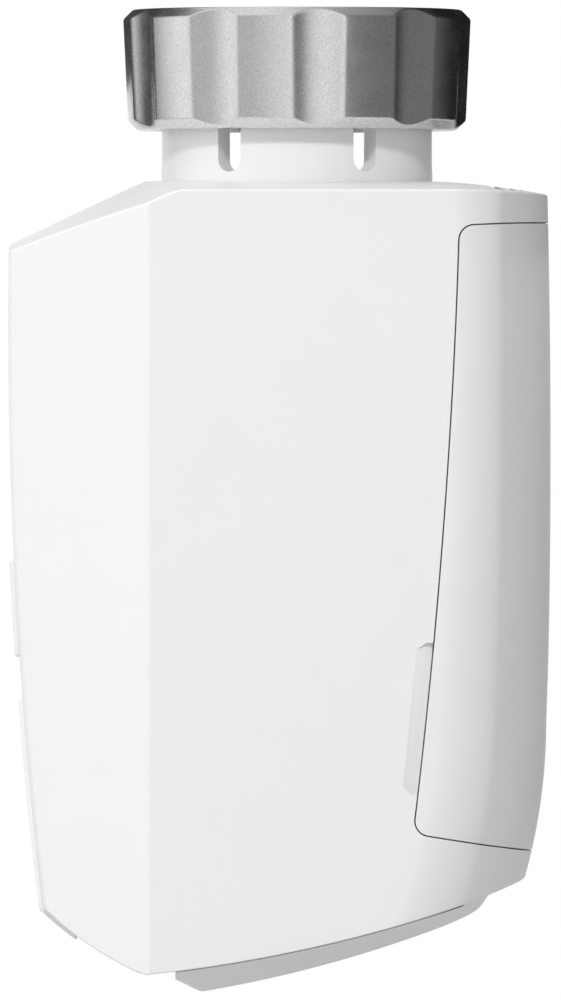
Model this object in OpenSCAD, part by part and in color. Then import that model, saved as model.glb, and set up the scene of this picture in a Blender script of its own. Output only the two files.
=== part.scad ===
// Motorised actuator head for a radiator valve.
// Millimetres. +Z points along the valve axis towards the valve, -X is the front, +X the battery side.
// The origin is on the valve axis, at the foot of the nut's thread.

/* [Housing] */
// Width from side to side
body_w = 54; // [48:0.5:60]
// How much taller the housing is than a cell
body_over = 32.1; // [31:0.1:36]
// Front face to the circuit board
board_set = 7.8; // [7.6:0.1:9]
// Room between the circuit board and the gears
front_room = 0.72; // [0.7:0.02:3]
// Room between the cells and the battery cover
back_room = 1.85; // [1.6:0.05:4]
// Wall thickness
wall = 2; // [1.6:0.1:2.4]
// Valve axis to the creases between the side faces and the front bevels
crease_d = 15.4; // [14:0.2:17]
// Angle of the front bevels to the side faces
bevel_angle = 40; // [36:1:42]
// Radius of the upright edges at the back
back_edge_r = 5.4; // [4:0.2:7]
// Angle of the sloping front of the top
top_slope = 25.3; // [22:0.1:28]

/* [Battery cover] */
// Gap all round the cover
cover_gap = 0.22; // [0.15:0.01:0.4]
// Wall of the cover
cover_wall = 1.6; // [1.2:0.1:1.8]
// Radius of the cover's front corners
cover_corner_r = 1.6; // [1:0.1:2.5]
// How far the cover's top edge lies below the flat top
cover_drop = 4.85; // [4.4:0.05:6]
// How much taller the cover is than a cell
cover_over = 12.7; // [12:0.1:13.4]
// How far the cover's upper end reaches round the sides
cover_wrap = 9.45; // [8.5:0.05:10.5]
// Length of the finger notch beside the cover
notch_l = 15.8; // [10:0.2:18]
// Width of the finger notch
notch_w = 1.7; // [1:0.1:2]
// Depth of the finger notch at the cover's edge
notch_depth = 0.85; // [0.4:0.05:1.2]

/* [Keys and display] */
// How far the keys and the lens stand proud of the front
proud = 0.5; // [0.45:0.05:0.8]
// Edge of the front face to the outer keys
key_margin = 1.43; // [1.3:0.01:2]
// Space between neighbouring keys
key_web = 1; // [0.9:0.05:1.6]
// Height of a key
key_h = 10.2; // [8:0.1:11]
// Flat top to the upper edge of the keys
key_drop = 39.4; // [36:0.1:41]
// Gap round a key
key_gap = 0.2; // [0.15:0.05:0.25]
// Travel of a key
key_travel = 0.4; // [0.2:0.05:0.4]
// Edge of the front face to the display lens
lens_margin = 1.93; // [1.6:0.01:2.6]
// Lower edge of the keys to the display lens
lens_gap = 4.3; // [4:0.1:5]
// Thickness of the lens below the surface
lens_seat = 1; // [0.8:0.1:1.2]

/* [End cap] */
// Side of the housing to the end cap
cap_inset = 4; // [3:0.1:6]
// Crease of the lower end to the end cap
cap_front_inset = 2.8; // [2.4:0.1:4]
// Back of the housing to the end cap
cap_back_inset = 5.9; // [5.6:0.1:8]
// Slope of the end cap's bevelled sides
cap_bevel = 33; // [28:1:45]
// Number of fine grooves on each half of the end cap's back edge
cap_grooves = 3; // [1:1:4]

/* [Union nut] */
// Wall of the nut outside its groove
nut_wall = 2.65; // [2.3:0.05:3.4]
// Height
nut_h = 12.6; // [12:0.1:14]
// Minor diameter of the thread, M30 x 1.5
thread_d = 28.38; // [26:0.01:30]
// Number of grip flutes
nut_flutes = 10; // [8:1:12]
// Depth of a grip flute
flute_depth = 0.72; // [0.4:0.02:1]
// How much the nut narrows towards the body, on the radius
nut_draft = 0.5; // [0.2:0.1:0.8]

/* [Valve collar] */
// How much narrower the neck is than the thread, on the radius
neck_fit = 0.04; // [0.02:0.01:0.3]
// Wall of the neck
neck_wall = 2.35; // [2:0.05:2.6]
// Height of the neck from the flat top to its seat
neck_h = 9.9; // [9.5:0.1:11]
// Number of slots that make the fingers
finger_slots = 6; // [4:1:8]
// Width of a slot
slot_w = 2.7; // [2:0.1:3.2]

/* [Drive] */
// Travel of the plunger
plunger_travel = 4; // [3:0.1:4]
// Seat to the plunger's tip when it is drawn back
plunger_rest = 16.1; // [15.5:0.1:17]
// Radius of the lead screw
screw_r = 3; // [2.8:0.05:3.2]
// Module of all the gears
gear_m = 0.4; // [0.36:0.01:0.44]
// Teeth of the output gear
output_teeth = 32; // [32:1:32]
// Teeth of the large wheels
wheel_teeth = 40; // [40:1:40]
// Teeth of the pinions
pinion_teeth = 10; // [10:1:10]
// Diameter of the motor can
motor_d = 12; // [10:0.5:13]
// Length of the motor can
motor_l = 20; // [16:0.5:24]
// Radius of the gears' axle pins
axle_r = 0.75; // [0.6:0.05:0.8]
// Running clearance of the turning pieces, on the radius
run_fit = 0.05; // [0.03:0.01:0.06]

/* [Batteries] */
// Diameter of a cell
cell_d = 14.5; // [13.5:0.1:16]
// Length of a cell, with its button
cell_l = 50.5; // [46:0.1:58]
// Gap between the two cells
cell_gap = 0.7; // [0.4:0.1:1]
// Height of the coil contacts as fitted
coil_h = 2.8; // [2.6:0.1:3]
// Turns of a coil contact
coil_turns = 3; // [2:1:3]
// Wire radius of a coil contact
coil_wire_r = 0.3; // [0.25:0.05:0.35]

/* [Hidden] */
$fn = 96;
fine = 256;
eps = 0.02;

white = [0.93, 0.93, 0.92];
grey = [0.55, 0.56, 0.58];
steel = [0.72, 0.72, 0.71];
brass = [0.80, 0.66, 0.36];
natural = [0.86, 0.84, 0.78];

// Gear axes
output_r = gear_m * output_teeth / 2;
wheel_r = gear_m * wheel_teeth / 2;
pinion_r = gear_m * pinion_teeth / 2;
tooth_tip = 0.9 * gear_m;
tooth_root = 1.15 * gear_m;
pressure = 25;
tooth_slack = 0.04;
function reach(from, d, a) = [from[0] + d * cos(a), from[1] + d * sin(a)];
turn_b = 180;
turn_a = 110;
turn_m = -30;
axis_b = reach([0, 0], output_r + pinion_r, turn_b);
axis_a = reach(axis_b, wheel_r + pinion_r, turn_a);
axis_m = reach(axis_a, wheel_r + pinion_r, turn_m);

// From the valve axis to the front and to the back, past the gears, the board and the cells
gear_room = 0.34;
tray_wall = 1.4;
cell_fit = 0.05;
cell_r = cell_d / 2;
board_h = 1.3;
front_d = wheel_r + tooth_tip - axis_a[0] + front_room + board_h + board_set;
board_x = -front_d + board_set;
tray_front = output_r + tooth_tip + gear_room;
cell_x = tray_front + tray_wall + cell_fit + cell_r;
back_d = cell_x + cell_r + back_room + cover_wall;

// Housing outline, all levels measured from the foot of the thread
body_h = cell_l + body_over;
top_z = -neck_h;
crease_z = top_z - body_h;
half_w = body_w / 2;
front_r = 500;
front_mid_z = top_z - 15.1;
back_r = 1100;
back_mid_z = top_z - 28.1;
low_back_r = 95;
low_back_from = crease_z + 26.5;
side_r = 600;
side_mid_x = 4;
crown_r = 300;
slope_crown_r = 140;
slope_at = [-crease_d - 0.95, top_z - 0.2];
top_back_r = 88;
top_back_x = back_d - 16.5;
end_r = 152;
end_tilt = 6.1;
toe_r = 35;
toe_tilt = 22;
body_reach = 200;
bow_r = 1.075 * body_w;
bow_c = back_d - bow_r;

// Where a circle of radius r crosses a point when its tangent there leans by a degrees
function centre_for(p, r, a) = [p[0] - r * sin(a), p[1] + r * cos(a)];
end_c = centre_for([-crease_d, crease_z], end_r, end_tilt);
toe_c = centre_for([-crease_d, crease_z], toe_r, -toe_tilt);
function back_x(z) = back_d - back_r + sqrt(pow(back_r, 2) - pow(z - back_mid_z, 2));
function front_x(z) = -front_d + front_r - sqrt(pow(front_r, 2) - pow(z - front_mid_z, 2));
function end_z(x) = end_c[1] - sqrt(pow(end_r, 2) - pow(x - end_c[0], 2));
function side_y(x) = half_w - side_r + sqrt(pow(side_r, 2) - pow(x - side_mid_x, 2));
low_back_lean = 3.5;
low_back_c = [back_x(low_back_from) - low_back_r * cos(low_back_lean),
    low_back_from + low_back_r * sin(low_back_lean)];

// Centre of the round upright edge between a side and the bowed back
edge_side_c = [side_mid_x, half_w - side_r];
edge_bow_c = [bow_c, 0];
edge_line = edge_bow_c - edge_side_c;
edge_along = (pow(side_r - back_edge_r, 2) - pow(bow_r - back_edge_r, 2) + pow(norm(edge_line), 2)) / (2 * norm(edge_line));
edge_off = sqrt(pow(side_r - back_edge_r, 2) - pow(edge_along, 2));
edge_c = edge_side_c + (edge_along * edge_line + edge_off * [edge_line[1], -edge_line[0]]) / norm(edge_line);
edge_from_side = (edge_c - edge_side_c) / norm(edge_c - edge_side_c);
edge_from_bow = (edge_c - edge_bow_c) / norm(edge_c - edge_bow_c);
front_half = side_y(-crease_d) - (front_d - crease_d) * tan(bevel_angle);

// Battery cover outline
cover_h = cell_l + cover_over;
cover_edge_r = 684;
cover_top_z = top_z - cover_drop;
cover_edge_c = [back_d - cover_wrap - cover_edge_r, cover_top_z + 20.1];
function cover_x(z) = cover_edge_c[0] + sqrt(pow(cover_edge_r, 2) - pow(z - cover_edge_c[1], 2));
cover_top_turn = cover_top_z - cover_corner_r;
cover_low_turn = cover_top_z - cover_h + cover_corner_r;
function cover_lean(z) = asin((z - cover_edge_c[1]) / cover_edge_r);
cover_top_rise = 3.1;
cover_low_fall = 9.3;
notch_top = cover_top_z - cover_h + 20.15;

// Valve collar and nut
neck_r = thread_d / 2 - neck_fit;
socket_r = neck_r - neck_wall;
flange_r = neck_r + 3.35;
flange_top = top_z - 3.1;
flange_h = 2.5;
collar_low = top_z - 7.6;
barb_r = neck_r + 0.8;
tip_r = neck_r - 0.35;
barb_top = -0.8;
barb_h = 1.4;
lip_r = neck_r + 0.3;
groove_r = barb_r + 0.55;
nut_r = groove_r + nut_wall;
nut_top = nut_h - 4.6;
nut_low = nut_top - nut_h;
nut_chamfer = 1;
lip_h = barb_top - barb_h - 0.2 - nut_low;
thread_low = 0;
seat_z = -0.3;
thread_top = nut_top - 0.8;
flute_r = 7;
flute_turn = -83;

// Gearbox levels, from the top down, behind the board
lid_top = collar_low;
lid_h = 2;
lid_low = lid_top - lid_h;
sleeve_h = 3;
head_r = 4.5;
head_flat = 3.6;
head_h = 5;
guide_fit = 0.1;
output_h = 6;
hub_h = 1;
output_top = -plunger_rest - head_h - hub_h - 0.9;
output_low = output_top - output_h;
washer_h = 0.55;
shelf_top = output_low - run_fit - washer_h;
shelf_h = 1.7;
screw_low = output_low - plunger_travel;
wheel_h = 2.4;
wheel_b_top = min(screw_low, shelf_top - shelf_h) - 1;
wheel_a_top = wheel_b_top - wheel_h - 1.1;
base_top = wheel_a_top - wheel_h - 1.1;
base_h = 2;
base_low = base_top - base_h;
box_front = board_x + board_h + 0.6;
box_back = tray_front - 0.7;
box_room = 0.5;
post_r = 2.2;
post_y = neck_r + 2.05;
box_w = 2 * (post_y + 2.8);
posts = [[box_front + 2.7, -post_y + 1.2], [box_back - post_r, -post_y], [box_back - post_r, post_y]];

// Board, keys and display
board_w = 2 * (front_half - 0.93);
board_top = top_z - 12;
key_pitch = (2 * (front_half - key_margin) + key_web) / 3;
key_w = key_pitch - key_web;
key_top = top_z - key_drop;
key_mid = key_top - key_h / 2;
key_rim = 0.3;
key_back = -front_d + 3.4;
key_stem_end = -front_d + 5.45;
switch_tip = key_stem_end + key_travel + 0.05;
lens_w = 2 * (front_half - lens_margin);
lens_top = key_top - key_h - lens_gap;
lens_toe_x = -front_d + 7.1;
window_inset = 1.5;
lcd_top = lens_top - 2.2;
lcd_h = lens_top - crease_z - 13.7;
lcd_w = lens_w - 3.8;
lcd_x = -front_d + 5;
lcd_t = 1.4;
board_low = lcd_top - lcd_h - 2.9;
screw_levels = [top_z - 20, key_top - key_h - 3];

// Battery bay
cell_y = cell_r + cell_gap / 2;
plate_t = 0.4;
tray_top = top_z - 9.8;
bay_top = tray_top - tray_wall;
bay_low = bay_top - 2 * plate_t - cell_l - coil_h;
tray_low = bay_low - tray_wall;
tray_w = 2 * (cell_y + cell_r + 0.5);
tray_back = cell_x + cell_r - 1;
rib_y = side_y(tray_front) - wall;

// Helpers
module along_y(w) {
    rotate([90, 0, 0])
        linear_extrude(height = w, center = true)
            children();
}

module at_angles(list) {
    for (a = list)
        rotate([0, 0, a])
            children();
}

module both_sides() {
    children();
    mirror([0, 1, 0])
        children();
}

// Side view of the housing in X and Z without its back, with every face moved in by t
module side_outline(t) {
    far = body_reach;
    intersection() {
        translate([front_r - front_d, front_mid_z])
            circle(r = front_r - t, $fn = fine);
        translate(end_c)
            circle(r = end_r - t, $fn = fine);
        union() {
            translate(toe_c)
                circle(r = toe_r - t, $fn = fine);
            translate([0, -far])
                square([far, 2 * far]);
            translate([-far, toe_c[1]])
                square([2 * far, far]);
        }
        union() {
            translate([top_back_x, top_z - top_back_r + 0.05])
                circle(r = top_back_r - t, $fn = fine);
            translate([-far, -far])
                square([far + top_back_x, 2 * far]);
        }
    }
}

// Plan of the housing, with every face moved in by t
module plan_outline(t) {
    far = body_reach;
    lean = tan(bevel_angle);
    crease_y = side_y(-crease_d) - t / cos(bevel_angle);
    from_side = edge_c + (back_edge_r - t) * edge_from_side;
    from_bow = edge_c + (back_edge_r - t) * edge_from_bow;
    chord = (from_side - from_bow) / norm(from_side - from_bow);
    high = from_side + 60 * chord;
    intersection() {
        translate([side_mid_x, half_w - side_r])
            circle(r = side_r - t, $fn = fine);
        translate([side_mid_x, side_r - half_w])
            circle(r = side_r - t, $fn = fine);
        polygon([
            [-crease_d - 20, -(crease_y - 20 * lean)],
            [-crease_d + far, -(crease_y + far * lean)],
            [-crease_d + far, crease_y + far * lean],
            [-crease_d - 20, crease_y - 20 * lean]
        ]);
        union() {
            polygon([
                [from_bow[0] - chord[0] * from_bow[1] / chord[1], 0],
                high,
                [-far, far],
                [-far, -far],
                [high[0], -high[1]]
            ]);
            for (s = [-1, 1])
                translate([edge_c[0], s * edge_c[1]])
                    circle(r = back_edge_r - t);
        }
    }
}

// The bowed back, turned about an upright axis
module back_bow(t) {
    far = body_reach;
    translate([bow_c, 0, 0])
        rotate_extrude($fn = fine)
            intersection() {
                translate([back_d - back_r - bow_c, back_mid_z])
                    circle(r = back_r - t, $fn = fine);
                union() {
                    translate(low_back_c - [bow_c, 0])
                        circle(r = low_back_r - t, $fn = fine);
                    translate([-far, low_back_c[1]])
                        square([2 * far, far]);
                }
                translate([0, crease_z - 20])
                    square([far, body_h + 40]);
            }
}

// The two crowned faces of the top
module top_crowns(t) {
    intersection() {
        translate([0, 0, top_z - crown_r])
            rotate([0, 90, 0])
                cylinder(r = crown_r - t, h = 2 * body_reach, center = true, $fn = fine);
        translate([slope_at[0], 0, slope_at[1]])
            rotate([0, -top_slope, 0])
                translate([0, 0, -slope_crown_r])
                    rotate([0, 90, 0])
                        cylinder(r = slope_crown_r - t, h = 2 * body_reach, center = true, $fn = fine);
    }
}

module body_shape(t) {
    intersection() {
        along_y(2 * body_w)
            side_outline(t);
        translate([0, 0, crease_z - 20])
            linear_extrude(height = body_h + 40)
                plan_outline(t);
        top_crowns(t);
        back_bow(t);
    }
}

// Side view of the battery cover, grown by g
module cover_outline(g) {
    r = cover_corner_r + g;
    top_c = [cover_x(cover_top_turn) + cover_corner_r, cover_top_turn];
    low_c = [cover_x(cover_low_turn) + cover_corner_r, cover_low_turn];
    top_from = 90 + cover_top_rise;
    top_to = 180 + cover_lean(cover_top_turn);
    low_from = 180 + cover_lean(cover_low_turn);
    low_to = 270 - cover_low_fall;
    run = back_d;
    start = [top_c[0] + r * cos(top_from), top_c[1] + r * sin(top_from)];
    end = [low_c[0] + r * cos(low_to), low_c[1] + r * sin(low_to)];
    polygon(concat(
        [[start[0] + run, start[1] + run * tan(cover_top_rise)]],
        [for (i = [0:6]) let (a = top_from + (top_to - top_from) * i / 6)
            [top_c[0] + r * cos(a), top_c[1] + r * sin(a)]],
        [for (i = [1:7]) let (z = cover_top_turn + (cover_low_turn - cover_top_turn) * i / 8)
            [cover_x(z) - g, z]],
        [for (i = [0:6]) let (a = low_from + (low_to - low_from) * i / 6)
            [low_c[0] + r * cos(a), low_c[1] + r * sin(a)]],
        [[end[0] + run, end[1] - run * tan(cover_low_fall)]]
    ));
}

// Zone of the display lens in side view, grown by g
module lens_zone(g) {
    translate([-2 * front_d, crease_z])
        square([2 * front_d + lens_toe_x + g, lens_top + g - crease_z]);
}

module key_block(grow, depth_from, depth_to) {
    translate([depth_from, -key_w / 2 - grow, key_mid - key_h / 2 - grow])
        cube([depth_to - depth_from, key_w + 2 * grow, key_h + 2 * grow]);
}

// Involute gear, with its tooth number 0 on the X axis
function inv(a) = tan(a) * 180 / PI - a;
module gear_outline(teeth) {
    rp = gear_m * teeth / 2;
    rb = rp * cos(pressure);
    ra = rp + tooth_tip;
    rf = rp - tooth_root;
    r0 = max(rb, rf + 0.02);
    slack = tooth_slack / rp * 180 / PI;
    half = 90 / teeth - slack + inv(pressure);
    rs = [for (i = [0:4]) r0 + (ra - r0) * i / 4];
    function lean(r) = half - inv(acos(min(1, rb / r)));
    polygon([for (k = [0:teeth - 1]) let (c = 360 * k / teeth) each concat(
        [rf * [cos(c - lean(r0)), sin(c - lean(r0))]],
        [for (r = rs) r * [cos(c - lean(r)), sin(c - lean(r))]],
        [for (i = [4:-1:0]) rs[i] * [cos(c + lean(rs[i])), sin(c + lean(rs[i]))]],
        [rf * [cos(c + lean(r0)), sin(c + lean(r0))]]
    )]);
}

module gear(teeth, h, turn) {
    rotate([0, 0, turn])
        linear_extrude(height = h)
            gear_outline(teeth);
}

// Pan-head screw pointing up the Z axis, with the underside of its head at the origin
module screw(r, l, head_r, head_h) {
    cylinder(r = r, h = l);
    difference() {
        translate([0, 0, -head_h])
            cylinder(r = head_r, h = head_h);
        for (a = [0, 90])
            rotate([0, 0, a])
                translate([-head_r * 0.6, -head_r * 0.12, -head_h - eps])
                    cube([head_r * 1.2, head_r * 0.24, head_h * 0.45]);
    }
}

// Housing
vent_slots = [[back_d - 6.3, 1], [back_d - 4.6, 0.7], [back_d - 3.5, 0.7]];
vent_w = body_w - 30;

module finger_notch() {
    mid = notch_top - notch_l / 2;
    tilt = -cover_lean(mid);
    translate([cover_x(mid) - notch_w, side_y(cover_x(mid)), mid])
        rotate([0, tilt, 0])
            rotate([0, 0, -atan(notch_depth / notch_w)])
                translate([0, 0, -notch_l / 2])
                    cube([2 * notch_w, 2 * notch_w, notch_l]);
}

module housing_bosses() {
    boss_top = top_z - wall + 0.3;
    translate([0, 0, flange_top])
        cylinder(r = flange_r + 0.5, h = boss_top - flange_top);
    for (z = screw_levels)
        translate([front_x(z) + wall / 2, 0, z])
            rotate([0, 90, 0])
                cylinder(r = 1.8, h = board_x - front_x(z) - wall / 2);
    both_sides()
        translate([tray_front - 1.5, rib_y - 1.8, tray_low])
            cube([1.5, 1.8 + wall / 2, tray_top - tray_low]);
}

module main_housing() {
    cap_hole = cap_plug(0.2);
    color(white)
        difference() {
            union() {
                difference() {
                    body_shape(0);
                    body_shape(wall);
                }
                housing_bosses();
            }
            translate([0, 0, flange_top - eps])
                cylinder(r = neck_r + 0.1, h = neck_h);
            flange_holes(flange_top - eps, 2);
            for (z = screw_levels)
                translate([board_x - 4.2, 0, z])
                    rotate([0, 90, 0])
                        cylinder(r = board_screw_r + eps, h = 4.2 + eps);
            along_y(2 * body_w)
                cover_outline(cover_gap / 2);
            translate([cap_hole[0], -cap_hole[2] / 2, crease_z - 5])
                cube([cap_hole[1] - cap_hole[0], cap_hole[2], body_h / 2]);
            along_y(lens_w + 0.1)
                difference() {
                    intersection() {
                        side_outline(-2);
                        lens_zone(0.05);
                    }
                    side_outline(lens_seat);
                }
            translate([-2 * front_d, -lens_w / 2 + window_inset, lcd_top - lcd_h - 1])
                cube([2 * front_d + lcd_x + 1, lens_w - 2 * window_inset, lcd_h + 1.6]);
            for (i = [-1:1])
                translate([0, i * key_pitch, 0])
                    key_block(key_gap, -2 * front_d, key_back);
            for (v = vent_slots)
                translate([v[0] - v[1] / 2, -vent_w / 2, top_z - wall - 2])
                    cube([v[1], vent_w, wall + 4]);
            both_sides()
                finger_notch();
        }
}

// Cover with two pairs of tongues that locate it beside the battery tray
tongue_fit = 0.4;

module battery_cover() {
    tongue_y = tray_w / 2 + tray_wall + tongue_fit;
    tongue_x = tray_front + tray_wall + tongue_fit;
    color(white)
        union() {
            intersection() {
                difference() {
                    body_shape(0);
                    body_shape(cover_wall);
                }
                along_y(2 * body_w)
                    cover_outline(-cover_gap / 2);
            }
            intersection() {
                for (z = [bay_top - 6, bay_low + 6])
                    both_sides()
                        translate([tongue_x, tongue_y, z - 3])
                            cube([back_d - tongue_x, 1.2, 6]);
                body_shape(cover_wall / 2);
            }
        }
}

// End cap: a crowned plate with bevelled sides and a plug that enters the housing
cap_w = body_w - 2 * cap_inset;
cap_front = -crease_d + cap_front_inset;
cap_l = back_d - cap_back_inset - cap_front;
cap_r = 131;
cap_rise = 2.4;
cap_bow_r = 2.13 * body_w;
cap_c = [end_c[0], end_z(cap_front) - cap_rise + sqrt(pow(cap_r, 2) - pow(cap_front - end_c[0], 2))];
function cap_z(x) = cap_c[1] - sqrt(pow(cap_r, 2) - pow(x - cap_c[0], 2));
function cap_plug(g) = [cap_front + 2.2 - g, cap_front + cap_l - 4.2 + g, cap_w - 8 + 2 * g];

module cap_outline() {
    far = 2 * cap_l;
    step = 0.9;
    intersection() {
        difference() {
            translate(cap_c)
                circle(r = cap_r, $fn = fine);
            translate(end_c)
                circle(r = end_r, $fn = fine);
        }
        polygon([
            [cap_front, top_z],
            [cap_front, end_z(cap_front) - step],
            [cap_front + far, end_z(cap_front) - step - far * tan(27)],
            [cap_front + far, top_z]
        ]);
    }
}

module end_cap() {
    plug = cap_plug(0);
    deep = 2 * cap_rise;
    back = cap_front + cap_l;
    fall = 5 * cap_rise;
    axis = back - cap_bow_r;
    color(white)
        difference() {
            union() {
                intersection() {
                    along_y(cap_w)
                        cap_outline();
                    translate([end_c[0], 0, end_c[1]])
                        rotate([90, 0, 0])
                            rotate_extrude($fn = fine)
                                polygon([
                                    [end_r - deep, -cap_w / 2],
                                    [end_r, -cap_w / 2],
                                    [end_r + deep, -cap_w / 2 + deep / tan(cap_bevel)],
                                    [end_r + deep, cap_w / 2 - deep / tan(cap_bevel)],
                                    [end_r, cap_w / 2],
                                    [end_r - deep, cap_w / 2]
                                ]);
                    translate([axis, 0, 0])
                        rotate_extrude($fn = fine)
                            polygon([
                                [0, top_z],
                                [cap_bow_r, top_z],
                                [cap_bow_r, end_z(back) + 0.4],
                                [cap_bow_r - fall * tan(28), end_z(back) + 0.4 - fall],
                                [0, end_z(back) + 0.4 - fall]
                            ]);
                }
                difference() {
                    intersection() {
                        translate([plug[0], -plug[2] / 2, crease_z - 5])
                            cube([plug[1] - plug[0], plug[2], body_h / 2]);
                        along_y(cap_w)
                            intersection() {
                                translate(cap_c)
                                    circle(r = cap_r - cap_rise / 4, $fn = fine);
                                difference() {
                                    translate([plug[0] - 1, crease_z - 5])
                                        square([cap_l, body_h / 2]);
                                    translate(end_c)
                                        circle(r = end_r - wall - 2, $fn = fine);
                                }
                            }
                    }
                    translate([plug[0] + 1.4, -plug[2] / 2 + 1.4, crease_z - 5])
                        intersection() {
                            cube([plug[1] - plug[0] - 2.8, plug[2] - 2.8, body_h / 2]);
                            translate([-plug[0] - 1.4, plug[2] / 2 - 1.4, 5 - crease_z])
                                along_y(cap_w)
                                    translate(end_c)
                                        circle(r = end_r, $fn = fine);
                        }
                }
            }
            for (i = [-cap_grooves:cap_grooves])
                let (y = 4.4 * i)
                    translate([axis + sqrt(pow(cap_bow_r, 2) - pow(y, 2)), y, end_z(back) + 0.4])
                        rotate([0, 28, 0])
                            cube([0.6, 0.5, 2 * fall], center = true);
        }
}

module display_lens() {
    color([0.80, 0.82, 0.83])
        along_y(lens_w)
            difference() {
                intersection() {
                    side_outline(-proud);
                    lens_zone(0);
                }
                side_outline(lens_seat);
            }
}

// Keys
module key(i) {
    stem_r = 1.4;
    color(white)
        translate([0, i * key_pitch, 0])
            union() {
                intersection() {
                    key_block(0, -2 * front_d, key_back);
                    along_y(2 * key_w)
                        translate([front_r - front_d, front_mid_z])
                            circle(r = front_r + proud, $fn = fine);
                }
                translate([key_back - eps, -key_w / 2 - key_rim, key_mid - key_h / 2 - 0.8])
                    cube([0.7 + eps, key_w + 2 * key_rim, key_h + 1.6]);
                translate([key_back, 0, key_mid])
                    rotate([0, 90, 0])
                        cylinder(r = stem_r, h = key_stem_end - key_back);
            }
}

module key_minus() {
    key(-1);
}

module key_mode() {
    key(0);
}

module key_plus() {
    key(1);
}

// Valve collar with its snap fingers
finger_turns = [for (i = [0:finger_slots - 1]) 360 * i / finger_slots];
slot_low = top_z + 0.83;
collar_screw_turns = [90, 180, 270];
collar_screw_at = neck_r - neck_wall / 2;
collar_screw_r = 0.8;
flange_screw_turns = [110, 180, 250];
flange_screw_at = neck_r + 1.7;
flange_screw_r = 0.8;

module flange_holes(z, h) {
    at_angles(flange_screw_turns)
        translate([flange_screw_at, 0, z])
            cylinder(r = flange_screw_r + eps, h = h);
}

module valve_collar() {
    barb_low = barb_top - barb_h;
    color(white)
        difference() {
            rotate_extrude()
                polygon([
                    [socket_r, seat_z],
                    [tip_r - 0.3, seat_z],
                    [tip_r, barb_top],
                    [barb_r, barb_top - 0.5],
                    [barb_r, barb_low],
                    [neck_r, barb_low],
                    [neck_r, flange_top],
                    [flange_r, flange_top],
                    [flange_r, flange_top - flange_h],
                    [neck_r, flange_top - flange_h],
                    [neck_r, collar_low],
                    [socket_r, collar_low]
                ]);
            at_angles(finger_turns)
                union() {
                    translate([0, -slot_w / 2, slot_low + slot_w / 2])
                        cube([2 * neck_r, slot_w, neck_h]);
                    translate([0, 0, slot_low + slot_w / 2])
                        rotate([0, 90, 0])
                            cylinder(d = slot_w, h = 2 * neck_r);
                }
            flange_holes(flange_top - flange_h - eps, flange_h + 2 * eps);
            at_angles(collar_screw_turns)
                translate([collar_screw_at, 0, collar_low - eps])
                    cylinder(r = collar_screw_r + eps, h = 5.2);
        }
}

module union_nut() {
    low_r = nut_r - nut_draft;
    color(steel)
        difference() {
            rotate_extrude()
                polygon([
                    [lip_r, nut_low],
                    [low_r - nut_chamfer, nut_low],
                    [low_r, nut_low + nut_chamfer],
                    [nut_r, nut_top - nut_chamfer],
                    [nut_r - nut_chamfer, nut_top],
                    [thread_d / 2 + nut_top - thread_top, nut_top],
                    [thread_d / 2, thread_top],
                    [thread_d / 2, thread_low],
                    [groove_r, thread_low],
                    [groove_r, nut_low + lip_h],
                    [lip_r, nut_low + lip_h]
                ]);
            for (i = [0:nut_flutes - 1])
                rotate([0, 0, flute_turn + 360 * i / nut_flutes])
                    translate([nut_r - nut_draft / 2 - flute_depth + flute_r, 0, nut_low - 1])
                        rotate([0, atan(nut_draft / nut_h), 0])
                            cylinder(r = flute_r, h = nut_h + 2);
        }
}

// Drive
module plunger_guide(fit, h) {
    intersection() {
        cylinder(r = head_r + fit, h = h);
        translate([-2 * head_r, -head_flat - fit, 0])
            cube([4 * head_r, 2 * (head_flat + fit), h]);
    }
}

module plunger() {
    head_low = -plunger_rest - head_h;
    color(natural)
        difference() {
            union() {
                translate([0, 0, head_low])
                    plunger_guide(0, head_h - 0.6);
                translate([0, 0, screw_low])
                    cylinder(r = screw_r, h = head_low - screw_low + eps);
            }
            translate([0, 0, -plunger_rest - 2.6])
                cylinder(r = 1.5 + eps, h = 3);
        }
}

module plunger_tip() {
    color(steel)
        union() {
            translate([0, 0, -plunger_rest - 0.6])
                cylinder(r = 3.2, h = 0.6);
            translate([0, 0, -plunger_rest - 2.6 + eps])
                cylinder(r = 1.5, h = 2.3);
        }
}

module box_plate(h) {
    linear_extrude(height = h)
        intersection() {
            translate([box_front, -box_w / 2])
                square([box_back - box_front, box_w]);
            plan_outline(wall + box_room);
        }
}

module gearbox_lid() {
    bush_r = head_r + 1.7;
    color(grey)
        difference() {
            union() {
                translate([0, 0, lid_low])
                    box_plate(lid_h);
                translate([0, 0, lid_low])
                    cylinder(r = neck_r, h = lid_h);
                translate([0, 0, lid_top - eps])
                    cylinder(r = bush_r, h = sleeve_h + eps);
                translate([0, 0, output_top + 0.1])
                    cylinder(r = bush_r, h = lid_low - output_top);
            }
            translate([0, 0, lid_low])
                plunger_guide(guide_fit, lid_h + sleeve_h + 1);
            translate([0, 0, output_top])
                cylinder(r = head_r + 0.06, h = lid_low - output_top);
            at_angles(collar_screw_turns)
                translate([collar_screw_at, 0, lid_low - eps])
                    cylinder(r = collar_screw_r + 0.1, h = lid_h + 2 * eps);
            for (p = posts)
                translate([p[0], p[1], lid_low - eps])
                    cylinder(r = 1, h = lid_h + 2 * eps);
            for (p = [axis_a, axis_b])
                translate([p[0], p[1], lid_low - eps])
                    cylinder(r = axle_r + eps, h = lid_h / 2);
        }
}

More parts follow.
